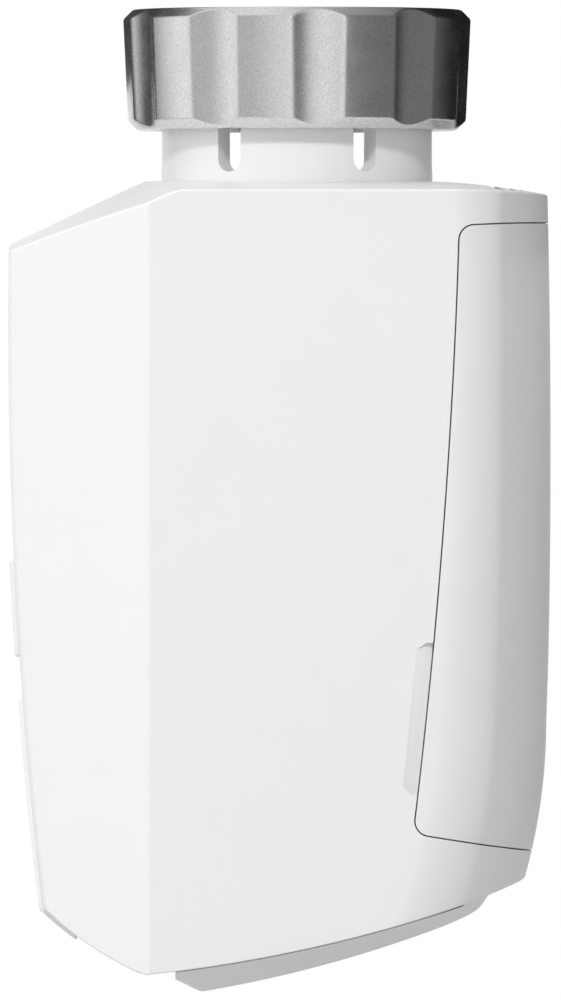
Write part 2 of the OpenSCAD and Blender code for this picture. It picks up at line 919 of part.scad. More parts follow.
// Base plate with three posts, and a shelf on a back wall that carries the output gear
module gearbox_base() {
    wall_t = 1.2;
    wall_w = 20;
    shelf_front = axis_b[0] + pinion_r + tooth_tip + 0.64;
    color(grey)
        difference() {
            union() {
                translate([0, 0, base_low])
                    box_plate(base_h);
                for (p = posts)
                    translate([p[0], p[1], base_low])
                        cylinder(r = post_r, h = lid_low - base_low);
                difference() {
                    translate([box_back - wall_t, -wall_w / 2, base_low])
                        cube([wall_t, wall_w, lid_low - base_low]);
                    translate([box_back - 2 * wall_t, -output_r + 1.2, shelf_top])
                        cube([3 * wall_t, 2 * output_r - 2.4, lid_low - shelf_top + eps]);
                }
                translate([shelf_front, -8, shelf_top - shelf_h])
                    cube([box_back - shelf_front, 16, shelf_h]);
            }
            translate([0, 0, shelf_top - shelf_h - eps])
                cylinder(r = screw_r + 0.3, h = shelf_h + 2 * eps);
            translate([axis_m[0], axis_m[1], base_low - eps])
                cylinder(r = motor_boss_r + 0.05, h = base_h + 2 * eps);
            for (p = [axis_a, axis_b])
                translate([p[0], p[1], base_top - base_h / 2])
                    cylinder(r = axle_r + eps, h = base_h);
            for (p = posts)
                translate([p[0], p[1], lid_low - 6])
                    cylinder(r = post_screw_r + eps, h = 6 + eps);
        }
}

module output_gear() {
    color(natural)
        difference() {
            union() {
                translate([0, 0, output_low])
                    gear(output_teeth, output_h, turn_b);
                translate([0, 0, output_top - eps])
                    cylinder(r = head_r, h = hub_h + eps);
            }
            translate([0, 0, output_low - eps])
                cylinder(r = screw_r + run_fit, h = output_h + hub_h + 2 * eps);
        }
}

// Compound gear: a pinion that stands on a wheel, each turned to mesh with its own mate
module compound_gear(axis, wheel_top, pinion_top, wheel_turn, pinion_turn) {
    translate([axis[0], axis[1], 0])
        difference() {
            union() {
                translate([0, 0, wheel_top - wheel_h])
                    gear(wheel_teeth, wheel_h, wheel_turn);
                translate([0, 0, wheel_top - eps])
                    gear(pinion_teeth, pinion_top - wheel_top + eps, pinion_turn);
            }
            translate([0, 0, wheel_top - wheel_h - eps])
                cylinder(r = axle_r + run_fit, h = pinion_top - wheel_top + wheel_h + 2 * eps);
        }
}

pinion_space = 180 / pinion_teeth;

module compound_gear_b() {
    color(natural)
        compound_gear(axis_b, wheel_b_top, output_top - 0.2, turn_a, turn_b + 180 + pinion_space);
}

module compound_gear_a() {
    color(natural)
        compound_gear(axis_a, wheel_a_top, wheel_b_top + 0.4, turn_m, turn_a + 180 + pinion_space);
}

motor_boss_r = 2.6;
shaft_r = 0.75;

module motor_pinion() {
    pinion_low = wheel_a_top - wheel_h - 0.3;
    color(brass)
        translate([axis_m[0], axis_m[1], 0])
            union() {
                translate([0, 0, pinion_low])
                    gear(pinion_teeth, wheel_h + 0.6, turn_m + 180 + pinion_space);
                translate([0, 0, base_low - 4])
                    cylinder(r = shaft_r, h = pinion_low - base_low + 4 + eps);
            }
}

module motor_can() {
    flat = motor_d * 0.42;
    color(steel)
        difference() {
            translate([axis_m[0], axis_m[1], base_low])
                union() {
                    intersection() {
                        translate([0, 0, -motor_l])
                            cylinder(d = motor_d, h = motor_l);
                        translate([-motor_d, -flat, -motor_l])
                            cube([2 * motor_d, 2 * flat, motor_l]);
                    }
                    cylinder(r = motor_boss_r, h = base_h - 0.4);
                    for (s = [-1, 1])
                        translate([-0.4, s * motor_d / 4 - 1, -motor_l - 2])
                            cube([0.8, 2, 2 + eps]);
                }
            translate([axis_m[0], axis_m[1], base_low - 4.3])
                cylinder(r = shaft_r + run_fit, h = 4.3 + base_h);
        }
}

module axle_pins() {
    low = base_top - base_h / 2;
    color(steel)
        for (p = [axis_a, axis_b])
            translate([p[0], p[1], low])
                cylinder(r = axle_r, h = lid_low + lid_h / 2 - 2 * eps - low);
}

module thrust_washer() {
    color(steel)
        translate([0, 0, shelf_top])
            difference() {
                cylinder(r = output_r - 0.6, h = washer_h);
                translate([0, 0, -eps])
                    cylinder(r = screw_r + 0.3, h = washer_h + 2 * eps);
            }
}

// Electronics
board_screw_r = 0.9;

module main_board() {
    color([0.10, 0.33, 0.20])
        difference() {
            translate([board_x, -board_w / 2, board_low])
                cube([board_h, board_w, board_top - board_low]);
            for (z = screw_levels)
                translate([board_x - eps, 0, z])
                    rotate([0, 90, 0])
                        cylinder(r = board_screw_r + 0.1, h = board_h + 2 * eps);
        }
}

module tact_switches() {
    side = 4.5;
    color([0.18, 0.18, 0.19])
        for (i = [-1:1])
            translate([board_x, i * key_pitch, key_mid])
                union() {
                    translate([-1, -side / 2, -side / 2])
                        cube([1, side, side]);
                    rotate([0, -90, 0])
                        cylinder(r = 0.9, h = board_x - switch_tip);
                }
}

module radio_module() {
    color(steel)
        translate([board_x + board_h, -7, screw_levels[1] - 14.7])
            cube([2, 14, 12]);
}

module controller_chip() {
    color([0.12, 0.12, 0.13])
        translate([board_x + board_h, -3.5, key_mid])
            cube([1, 7, 7]);
}

module temperature_sensor() {
    color([0.15, 0.15, 0.15])
        translate([board_x + board_h, board_w / 2 - 5.5, board_low + 0.6])
            cube([0.9, 2.4, 1.4]);
}

module lcd_panel() {
    color([0.62, 0.66, 0.60])
        translate([lcd_x, -lcd_w / 2, lcd_top - lcd_h])
            cube([lcd_t, lcd_w, lcd_h]);
}

module lcd_holder() {
    rim = 1.6;
    color([0.88, 0.88, 0.86])
        translate([lcd_x + lcd_t, -lcd_w / 2, lcd_top - lcd_h])
            difference() {
                cube([board_x - lcd_x - lcd_t, lcd_w, lcd_h]);
                translate([-eps, rim, rim])
                    cube([board_x - lcd_x, lcd_w - 2 * rim, lcd_h - 2 * rim]);
            }
}

// Batteries
module battery_tray() {
    plate_y = rib_y - 0.1;
    cradle = tray_wall;
    color(grey)
        union() {
            translate([tray_front, -plate_y, tray_low])
                cube([tray_wall, 2 * plate_y, tray_top - tray_low]);
            intersection() {
                for (z = [bay_top, tray_low])
                    translate([tray_front, -tray_w / 2, z])
                        cube([tray_back - tray_front, tray_w, tray_wall]);
                translate([bow_c, 0, tray_low - 1])
                    cylinder(r = tray_back + 0.25 - bow_c, h = tray_top - tray_low + 2, $fn = fine);
            }
            both_sides()
                translate([tray_front, tray_w / 2 - eps, tray_low])
                    cube([cell_r + tray_wall, cradle, tray_top - tray_low]);
            translate([tray_front, -1.5, tray_low])
                cube([tray_wall + 1.2, 3, tray_top - tray_low]);
        }
}

// A cell with its button at the top, and its lower end at the origin
module cell() {
    button_h = 1;
    union() {
        cylinder(r = cell_r, h = cell_l - button_h);
        cylinder(r = 2.7, h = cell_l);
    }
}

module cell_upper() {
    color([0.42, 0.45, 0.48])
        translate([cell_x, -cell_y, bay_top - plate_t - cell_l])
            cell();
}

module cell_lower() {
    color([0.42, 0.45, 0.48])
        translate([cell_x, cell_y, bay_low + plate_t + cell_l])
            rotate([180, 0, 0])
                cell();
}

module contact_plates() {
    side = 10;
    color(steel)
        union() {
            both_sides()
                translate([cell_x - side / 2, cell_y - side / 2, bay_top - plate_t])
                    cube([side, side, plate_t]);
            translate([cell_x - side / 2, -cell_y - side / 2, bay_low])
                cube([side, 2 * cell_y + side, plate_t]);
        }
}

// Conical coil from a wide foot at z = 0 to a narrow top at z = coil_h
coil_rings = 8;
coil_sides = 6;
coil_foot_r = 3.6;
coil_top_r = 2.4;
coil_steps = coil_turns * coil_rings;
function coil_at(i) = let (
    a = 360 * i / coil_rings,
    s = i / coil_steps,
    r = coil_foot_r + (coil_top_r - coil_foot_r) * s
) [r * cos(a), r * sin(a), coil_wire_r + (coil_h - 2 * coil_wire_r) * s];
function coil_gap() = min([for (i = [0:coil_steps - coil_rings])
    norm(coil_at(i + coil_rings) - coil_at(i)) - 2 * coil_wire_r]);
echo(coil_gap = coil_gap());

module coil() {
    points = [for (i = [0:coil_steps]) let (p = coil_at(i), a = 360 * i / coil_rings)
        for (k = [0:coil_sides - 1]) let (b = 360 * k / coil_sides)
            [p[0] + coil_wire_r * cos(b) * cos(a), p[1] + coil_wire_r * cos(b) * sin(a),
                p[2] + coil_wire_r * sin(b)]];
    function at(i, k) = i * coil_sides + k % coil_sides;
    faces = concat(
        [for (i = [0:coil_steps - 1]) for (k = [0:coil_sides - 1]) each [
            [at(i, k), at(i, k + 1), at(i + 1, k + 1)],
            [at(i, k), at(i + 1, k + 1), at(i + 1, k)]]],
        [for (k = [1:coil_sides - 2]) [at(0, 0), at(0, k + 1), at(0, k)]],
        [for (k = [1:coil_sides - 2]) [at(coil_steps, 0), at(coil_steps, k), at(coil_steps, k + 1)]]
    );
    polyhedron(points = points, faces = faces);
}

module coil_contacts() {
    color(steel)
        union() {
            translate([cell_x, -cell_y, bay_low + plate_t])
                coil();
            translate([cell_x, cell_y, bay_top - plate_t])
                rotate([180, 0, 0])
                    coil();
        }
}

// Fasteners
post_screw_r = 0.9;

module collar_screws() {
    color(steel)
        at_angles(collar_screw_turns)
            translate([collar_screw_at, 0, lid_low])
                screw(collar_screw_r, lid_h + 5, 1.5, 1.1);
}

module flange_screws() {
    color(steel)
        at_angles(flange_screw_turns)
            translate([flange_screw_at, 0, flange_top - flange_h])
                screw(flange_screw_r, flange_h + 1.2, 1.4, 1);
}

module post_screws() {
    color(steel)
        for (p = posts)
            translate([p[0], p[1], lid_top])
                rotate([180, 0, 0])
                    screw(post_screw_r, lid_h + 5.6, 1.8, 1.2);
}

module board_screws() {
    color(steel)
        for (z = screw_levels)
            translate([board_x + board_h, 0, z])
                rotate([0, -90, 0])
                    screw(board_screw_r, board_h + 4, 1.7, 1);
}

main_housing();
battery_cover();
end_cap();
display_lens();
key_minus();
key_mode();
key_plus();
valve_collar();
union_nut();
plunger();
plunger_tip();
gearbox_lid();
gearbox_base();
output_gear();
compound_gear_b();
compound_gear_a();
motor_pinion();
motor_can();
axle_pins();
thrust_washer();
main_board();
tact_switches();
radio_module();
controller_chip();
temperature_sensor();
lcd_panel();
lcd_holder();
battery_tray();
cell_upper();
cell_lower();
contact_plates();
coil_contacts();
collar_screws();
flange_screws();
post_screws();
board_screws();
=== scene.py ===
"""Dresses the motorised actuator head of a radiator valve.

The white housing, its battery cover, the keys, the display lens, the end cap,
the slotted collar and the fluted union nut are surfaces worked out with numpy.
The works inside keep their solids and get materials. Sizes are in millimetres
and angles in degrees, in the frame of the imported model: X runs to the back of
the head, Z up to the nut, and the viewer stands on the side of negative Y.
"""

from __future__ import annotations

import logging
import math
from dataclasses import dataclass
from enum import Enum
from typing import Callable, Sequence

import bmesh
import bpy
import numpy as np
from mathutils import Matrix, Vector


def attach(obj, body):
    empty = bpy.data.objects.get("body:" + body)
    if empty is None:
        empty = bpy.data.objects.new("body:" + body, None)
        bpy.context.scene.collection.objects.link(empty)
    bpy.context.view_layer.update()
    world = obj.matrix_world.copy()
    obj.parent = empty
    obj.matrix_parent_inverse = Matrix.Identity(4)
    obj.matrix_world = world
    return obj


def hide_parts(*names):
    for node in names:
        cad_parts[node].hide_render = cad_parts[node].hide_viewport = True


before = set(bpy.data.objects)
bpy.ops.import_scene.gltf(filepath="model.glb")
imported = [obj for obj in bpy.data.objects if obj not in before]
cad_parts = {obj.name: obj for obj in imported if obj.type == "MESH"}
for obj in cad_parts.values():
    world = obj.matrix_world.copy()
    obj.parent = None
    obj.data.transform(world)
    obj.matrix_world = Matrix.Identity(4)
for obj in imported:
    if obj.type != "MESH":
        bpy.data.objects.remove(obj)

log = logging.getLogger("actuator_head")

Array = np.ndarray
Field = Callable[[Array], Array]
Colour = tuple[float, float, float]
Pair = tuple[float, float]
# An arc's centre in two axes and its radius
Arc = tuple[float, float, float]
Stops = Sequence[Pair]
Object = bpy.types.Object
Socket = bpy.types.NodeSocket
Material = bpy.types.Material
Inputs = dict[str | int, object]

MM = 0.001
# Points nearer than this become one, in metres
MERGE = 1e-7
# A length that leads out of the head from its middle
THROUGH = 40.0
# Radius of the hole in the head's top
NECK_HOLE = 14.25
TO_BACK = np.array([1.0, 0, 0])
UP = np.array([0, 0, 1.0])


class Cut(Enum):
    """How one solid works on another."""

    AWAY = "DIFFERENCE"
    KEEP = "INTERSECT"


class KeySign(Enum):
    """The plain sign printed on a key."""

    MINUS = "minus"
    RING = "ring"
    PLUS = "plus"


# Shapes


@dataclass
class Surface:
    """Points in millimetres and the faces that join them."""

    points: Array
    faces: list[list[int]]

    def flipped(self) -> "Surface":
        """Gives the same surface with its faces turned round."""
        return Surface(self.points, [face[::-1] for face in self.faces])


def grid(points: Array, closed_rows: bool = False, closed_columns: bool = False) -> Surface:
    """Joins a grid of points with quads.

    Point (i, j) is joined with (i, j + 1), (i + 1, j + 1) and (i + 1, j), and a
    closed direction joins its last line with its first.

    Args:
        points: Array of rows by columns by 3.
        closed_rows: Whether the last row meets the first.
        closed_columns: Whether the last column meets the first.

    Returns:
        The surface.
    """
    rows, columns = points.shape[:2]
    index = np.arange(rows * columns).reshape(rows, columns)
    if closed_rows:
        index = np.vstack([index, index[:1]])
    if closed_columns:
        index = np.hstack([index, index[:, :1]])
    quads = np.stack([index[:-1, :-1], index[:-1, 1:], index[1:, 1:], index[1:, :-1]], axis=-1)
    return Surface(points.reshape(-1, 3), quads.reshape(-1, 4).tolist())


def join(parts: Sequence[Surface]) -> Surface:
    """Puts several surfaces into one list of points and faces.

    Args:
        parts: The surfaces.

    Returns:
        One surface with all their points and faces.
    """
    starts = np.cumsum([0] + [len(part.points) for part in parts])
    faces = [
        [i + int(start) for i in face] for part, start in zip(parts, starts) for face in part.faces
    ]
    return Surface(np.vstack([part.points for part in parts]), faces)


def prism(outline: Array, low: float, high: float) -> Surface:
    """Carries a side-view outline of (x, z) points along Y from low to high.

    The walls are one quad for each edge of the outline, and each end is one
    face.

    Args:
        outline: Array of n by 2, in order round the outline.
        low: The lower Y.
        high: The upper Y.

    Returns:
        The closed surface.
    """
    x, z = outline.T
    ends = [np.column_stack([x, np.full(len(x), y), z]) for y in (low, high)]
    walls = grid(np.stack(ends), closed_columns=True)
    first = list(range(len(x)))
    return Surface(walls.points, walls.faces + [first[::-1], [i + len(x) for i in first]])


def block(low: Sequence[float], high: Sequence[float]) -> Surface:
    """Gives a rectangular tool body between two corners."""
    (x0, y0, z0), (x1, y1, z1) = low, high
    return prism(np.array([[x0, z0], [x1, z0], [x1, z1], [x0, z1]], float), y0, y1)


def around(radius: float | Array, angle: Array, z: float | Array) -> Array:
    """Gives the points (r cos a, r sin a, z) for radii, angles in radians and heights."""
    parts = np.broadcast_arrays(radius * np.cos(angle), radius * np.sin(angle), z)
    return np.stack(parts, axis=-1)


def full_turn(columns: int) -> Array:
    """Divides a full turn into that many angles in radians."""
    return np.linspace(0, 2 * np.pi, columns, endpoint=False)


def lathe(profile: Array, columns: int) -> Surface:
    """Turns a closed outline of (r, z) points about the Z axis.

    Args:
        profile: Array of n by 2, in order round the section.
        columns: How many angles the turn is divided into.

    Returns:
        The closed surface.
    """
    points = around(profile[:, :1], full_turn(columns), profile[:, 1:])
    return grid(points, closed_rows=True, closed_columns=True)


def softened(profile: Array, radius: float, steps: int = 4, most: float = 0.45) -> Array:
    """Rounds the corners of a closed outline.

    Each corner becomes a quadratic curve from a point on the edge before it to
    a point on the edge after it, both at the given distance, or nearer where
    that is more than the allowed share of the shorter edge.

    Args:
        profile: Array of n by 2.
        radius: Distance from the corner at which the curve starts.
        steps: How many pieces a corner's curve has.
        most: The share of the shorter edge that a curve may take.

    Returns:
        Array of n times (steps + 1) by 2.
    """
    before = np.roll(profile, 1, axis=0) - profile
    after = np.roll(profile, -1, axis=0) - profile
    long_before = np.linalg.norm(before, axis=1)
    long_after = np.linalg.norm(after, axis=1)
    reach = np.minimum(radius, most * np.minimum(long_before, long_after))
    start = (profile + before * (reach / long_before)[:, None])[:, None]
    end = (profile + after * (reach / long_after)[:, None])[:, None]
    t = np.linspace(0, 1, steps + 1)[None, :, None]
    curve = (1 - t) ** 2 * start + 2 * t * (1 - t) * profile[:, None] + t**2 * end
    return curve.reshape(-1, 2)


def turned(points: Array, angle: float, axis: int) -> Array:
    """Turns points by an angle about a main axis through the origin.

    Args:
        points: Array whose last axis is X, Y and Z.
        angle: The angle.
        axis: 0, 1 or 2 for X, Y or Z.

    Returns:
        The turned points.
    """
    c, s = math.cos(math.radians(angle)), math.sin(math.radians(angle))
    i, j = [(1, 2), (2, 0), (0, 1)][axis]
    out = points.copy()
    out[..., i] = c * points[..., i] - s * points[..., j]
    out[..., j] = s * points[..., i] + c * points[..., j]
    return out


def rounded(a: Array, b: Array, r: float | Array) -> Array:
    """Joins two face fields with a round edge.

    Deeper than r under either face the deeper field counts; nearer the edge the
    level is the length of the vector of the two depths above -r.

    Args:
        a: Signed distance to the first face, negative inside.
        b: Signed distance to the second face.
        r: Radius of the edge between faces that meet at a right angle.

    Returns:
        The signed level of the joined shape.
    """
    near_edge = np.hypot(np.maximum(a + r, 0), np.maximum(b + r, 0))
    return np.minimum(np.maximum(a, b), -r) + near_edge


def soft_max(a: Array, b: Array, k: float) -> Array:
    """Takes the larger of two fields, with a parabola of width k where they cross."""
    h = np.maximum(k - np.abs(a - b), 0) / k
    return np.maximum(a, b) + h * h * k / 4


def crossing(level: Field, start: Array, way: Array, reach: float, steps: int = 34) -> Array:
    """Finds where rays leave a shape, by halving.

    Args:
        level: Field that is negative inside the shape.
        start: Points inside the shape.
        way: Directions that the rays take.
        reach: Length of the rays.
        steps: How many times the span is halved.

    Returns:
        The points on the surface.
    """
    near = np.zeros(start.shape[:-1])
    far = np.full(start.shape[:-1], reach)
    for _ in range(steps):
        middle = (near + far) / 2
        inside = level(start + way * middle[..., None]) < 0
        near = np.where(inside, middle, near)
        far = np.where(inside, far, middle)
    return start + way * ((near + far) / 2)[..., None]


def slope_of(level: Field, points: Array, step: float = 0.02) -> Array:
    """Gives the unit gradient of a field by central differences.

    Args:
        level: The field.
        points: Where the gradient is taken.
        step: How far the differences reach.

    Returns:
        A unit vector for each point.
    """
    shifts = np.eye(3) * step
    parts = [level(points + shift) - level(points - shift) for shift in shifts]
    out = np.stack(parts, axis=-1)
    return out / np.maximum(np.linalg.norm(out, axis=-1, keepdims=True), 1e-9)


# Meshes


def make_object(name: str, surface: Surface) -> Object:
    """Puts a surface into a new object at the origin, with its doubles merged.

    Args:
        name: The object's name.
        surface: Its points and faces.

    Returns:
        The object, with its faces outwards.
    """
    mesh = bpy.data.meshes.new(name)
    mesh.from_pydata((surface.points * MM).tolist(), [], surface.faces)
    work = bmesh.new()
    work.from_mesh(mesh)
    bmesh.ops.remove_doubles(work, verts=work.verts, dist=MERGE)
    bmesh.ops.recalc_face_normals(work, faces=work.faces)
    work.to_mesh(mesh)
    work.free()
    obj = bpy.data.objects.new(name, mesh)
    bpy.context.scene.collection.objects.link(obj)
    return obj


def discard(obj: Object) -> None:
    """Removes an object and its mesh.

    Args:
        obj: The object.
    """
    mesh = obj.data
    bpy.data.objects.remove(obj)
    bpy.data.meshes.remove(mesh)


def freeze(obj: Object) -> None:
    """Applies the object's modifiers to its mesh.

    Args:
        obj: The object that changes.
    """
    graph = bpy.context.evaluated_depsgraph_get()
    mesh = bpy.data.meshes.new_from_object(obj.evaluated_get(graph))
    obj.modifiers.clear()
    old = obj.data
    obj.data = mesh
    bpy.data.meshes.remove(old)


def work_on(obj: Object, tool: Surface, how: Cut) -> None:
    """Cuts an object with a closed tool surface and keeps the result.

    Args:
        obj: The object that changes.
        tool: The closed surface that cuts.
        how: Whether the tool's inside goes away or is kept.
    """
    cutter = make_object("tool", tool)
    modifier = obj.modifiers.new("cut", "BOOLEAN")
    modifier.operation = how.value
    modifier.solver = "EXACT"
    modifier.object = cutter
    freeze(obj)
    discard(cutter)
    log.debug("%s has %d faces after a cut", obj.name, len(obj.data.polygons))


def shade(obj: Object, angle: float) -> None:
    """Shades an object smoothly, with edges sharper than the angle kept."""
    obj.data.shade_smooth()
    obj.data.set_sharp_from_angle(angle=math.radians(angle))


def read_out(items: bpy.types.bpy_prop_collection, what: str, width: int, kind: type) -> Array:
    """Reads a value of each of a mesh's items.

    Args:
        items: The points, corners or faces.
        what: The value's name.
        width: How many numbers it has.
        kind: The type of its numbers.

    Returns:
        Array with a row for each item, or a plain list of numbers for a width of 1.
    """
    out = np.empty(len(items) * width, kind)
    items.foreach_get(what, out)
    return out.reshape(-1, width).astype(float) if width > 1 else out


def shade_by_field(
    obj: Object,
    level: Field,
    depths: Sequence[float],
    sharp: float = 32.0,
    near: float = 0.05,
    along: float = 0.9,
) -> None:
    """Gives the points on a field's levels the field's own normals.

    A corner whose point lies near one of the levels and whose face looks along
    the gradient takes the gradient as its normal, or the opposite where it
    looks against it. Other corners keep the mesh's smooth normals.

    Args:
        obj: The object to shade.
        level: Field of the shape, negative inside.
        depths: Depths under the surface on which the walls lie.
        sharp: Angle above which an edge stays sharp.
        near: Distance from a level that counts as on it.
        along: Least cosine between a face's normal and the gradient.
    """
    shade(obj, sharp)
    mesh = obj.data
    normal = read_out(mesh.corner_normals, "vector", 3, np.float32)
    vertex = read_out(mesh.loops, "vertex_index", 1, np.int32)
    points = read_out(mesh.vertices, "co", 3, np.float32) / MM
    flat = read_out(mesh.polygons, "normal", 3, np.float32)
    face = np.repeat(flat, read_out(mesh.polygons, "loop_total", 1, np.int32), axis=0)
    height = level(points)[vertex]
    gradient = slope_of(level, points)[vertex]
    facing = np.sum(face * gradient, axis=1)
    on_wall = np.any([np.abs(height + depth) < near for depth in depths], axis=0)
    use = on_wall & (np.abs(facing) > along)
    normal[use] = gradient[use] * np.sign(facing[use])[:, None]
    mesh.normals_split_custom_set(normal.tolist())


def add_bevel(obj: Object, width: float, segments: int = 3, angle: float = 30.0) -> None:
    """Rounds the edges sharper than the angle by a width in millimetres.

    Args:
        obj: The object that changes.
        width: How far from an edge the rounding starts.
        segments: How many faces it has across.
        angle: Least angle of an edge that is rounded.
    """
    modifier = obj.modifiers.new("round_edges", "BEVEL")
    modifier.width = width * MM
    modifier.segments = segments
    modifier.limit_method = "ANGLE"
    modifier.angle_limit = math.radians(angle)
    modifier.harden_normals = False
    freeze(obj)


def place(
    obj: Object, finish: "Finish", body: str, nodes: Sequence[str] = ()
) -> None:
    """Dresses a finished piece and puts it on its body.

    Args:
        obj: The piece.
        finish: Its finish.
        body: The body that it rides on.
        nodes: The solids that it stands for.
    """
    obj.data.materials.clear()
    obj.data.materials.append(finish.material())
    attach(obj, body)
    if nodes:
        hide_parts(*nodes)
    log.info("%s: %d faces on %s", obj.name, len(obj.data.polygons), body)


# Finishes

_made: dict[str, Material] = {}


def dimmed(colour: Colour, share: float) -> Colour:
    """Gives a colour times a share."""
    return tuple(min(1.0, c * share) for c in colour)


class Graph:
    """The node tree of a material or of the world, with short calls to add and link nodes."""

    def __init__(self, owner: Material | bpy.types.World) -> None:
        """Empties the owner's tree.

        Args:
            owner: The material or world.
        """
        owner.use_nodes = True
        self.owner = owner
        self.tree = owner.node_tree
        self.tree.nodes.clear()

    def add(self, kind: str, inputs: Inputs | None = None, **settings: object) -> bpy.types.Node:
        """Adds a node.

        Args:
            kind: The node's type name.
            inputs: Values or sockets for the node's inputs.
            settings: Properties of the node.

        Returns:
            The node.
        """
        node = self.tree.nodes.new(kind)
        for key, value in settings.items():
            setattr(node, key, value)
        for key, value in (inputs or {}).items():
            if isinstance(value, Socket):
                self.tree.links.new(value, node.inputs[key])
            else:
                node.inputs[key].default_value = value
        return node

    def place(self) -> Socket:
        """Gives the object's own coordinates."""
        return self.add("ShaderNodeTexCoord").outputs["Object"]

    def axes(self) -> bpy.types.bpy_prop_collection:
        """Gives the object's own X, Y and Z."""
        return self.add("ShaderNodeSeparateXYZ", {"Vector": self.place()}).outputs

    def noise(self, size: float, detail: float = 2.0) -> Socket:
        """Gives a noise whose grains are about size millimetres wide."""
        inputs = {"Vector": self.place(), "Scale": 1.0 / (size * MM), "Detail": detail}
        return self.add("ShaderNodeTexNoise", inputs).outputs["Fac"]

    def spread(self, value: Socket, low: float, high: float) -> Socket:
        """Stretches the middle of a noise, 0.3 to 0.7, to low to high."""
        inputs = {"Value": value, "From Min": 0.3, "From Max": 0.7, "To Min": low, "To Max": high}
        return self.add("ShaderNodeMapRange", inputs).outputs["Result"]

    def tint(
        self, value: Socket, stops: Sequence[tuple[float, Colour]], hard: bool = False
    ) -> Socket:
        """Turns a value into colours.

        Args:
            value: The value, 0 to 1.
            stops: Places and colours of the ramp.
            hard: Whether the colours change in steps.

        Returns:
            The colour.
        """
        ramp = self.add("ShaderNodeValToRGB", {"Fac": value})
        ramp.color_ramp.interpolation = "CONSTANT" if hard else "LINEAR"
        marks = ramp.color_ramp.elements
        given = len(marks)
        for i, (at, colour) in enumerate(stops):
            mark = marks[i] if i < given else marks.new(at)
            mark.position = at
            mark.color = (*colour, 1.0)
        return ramp.outputs["Color"]

    def mottle(self, size: float, colour: Colour, low: float, high: float) -> Socket:
        """Gives a colour in patches of size millimetres, from its low share to its high one."""
        stops = [(0.35, dimmed(colour, low)), (0.65, dimmed(colour, high))]
        return self.tint(self.noise(size), stops)

    def bump(self, height: Socket, depth: float, strength: float) -> Socket:
        """Turns a height of 0 to 1 into a normal, for a depth in millimetres."""
        inputs = {"Height": height, "Distance": depth * MM, "Strength": strength}
        return self.add("ShaderNodeBump", inputs).outputs["Normal"]

    def satin(self, roughness: float, grain: float = 0.22, depth: float = 0.004) -> Inputs:
        """Gives the roughness and the fine grain of a moulded face."""
        return {
            "Roughness": self.spread(self.noise(0.6, 3.0), roughness - 0.04, roughness + 0.04),
            "Normal": self.bump(self.noise(grain, 3.0), depth, 0.35),
        }

    def maths(self, what: str, *values: object) -> Socket:
        """Works on numbers."""
        return self.add("ShaderNodeMath", dict(enumerate(values)), operation=what).outputs[0]

    def within(self, value: Socket, middle: float, reach: float) -> Socket:
        """Gives 1 where a value is nearer to the middle than the reach, and 0 elsewhere."""
        off = self.maths("ABSOLUTE", self.maths("SUBTRACT", value, middle))
        return self.maths("LESS_THAN", off, reach)

    def backdrop(self) -> Socket:
        """Gives 1 for what the camera, a reflection or a clear piece shows, and 0 for light.

        Returns:
            The share, 1 or 0.
        """
        path = self.add("ShaderNodeLightPath").outputs
        mirrored = self.maths("MAXIMUM", path["Is Glossy Ray"], path["Is Transmission Ray"])
        return self.maths("MAXIMUM", path["Is Camera Ray"], mirrored)

    def end(self, shader: bpy.types.Node, kind: str = "ShaderNodeOutputMaterial") -> Material:
        """Ends the tree with a shader and gives its owner."""
        self.add(kind, {"Surface": shader.outputs[0]})
        return self.owner

    def surface(self, inputs: Inputs) -> Material:
        """Ends the tree with one shader for the whole surface."""
        return self.end(self.add("ShaderNodeBsdfPrincipled", inputs))


def paint(name: str) -> Graph:
    """Starts the tree of a new material."""
    return Graph(bpy.data.materials.new(name))


class Finish:
    """A finish that makes its material once."""

    name: str

    def material(self) -> Material:
        """Gives the material, made at its first use.

        Returns:
            The material.
        """
        if self.name not in _made:
            _made[self.name] = self.build()
        return _made[self.name]

    def build(self) -> Material:
        """Makes the material."""
        raise NotImplementedError


@dataclass(frozen=True)
class MouldedPlastic(Finish):
    """Plastic from a finely eroded mould: faint mottle and a fine grain."""

    name: str
    colour: Colour
    roughness: float = 0.42
    mottle: float = 0.004
    patch: float = 6.0
    grain: float = 0.22
    depth: float = 0.004

    def build(self) -> Material:
        """Mixes a broad mottle into the colour and a fine grain into the bump.

        Returns:
            The material.
        """
        g = paint(self.name)
        base = g.mottle(self.patch, self.colour, 1 - self.mottle, 1 + self.mottle)
        return g.surface({"Base Color": base, **g.satin(self.roughness, self.grain, self.depth)})


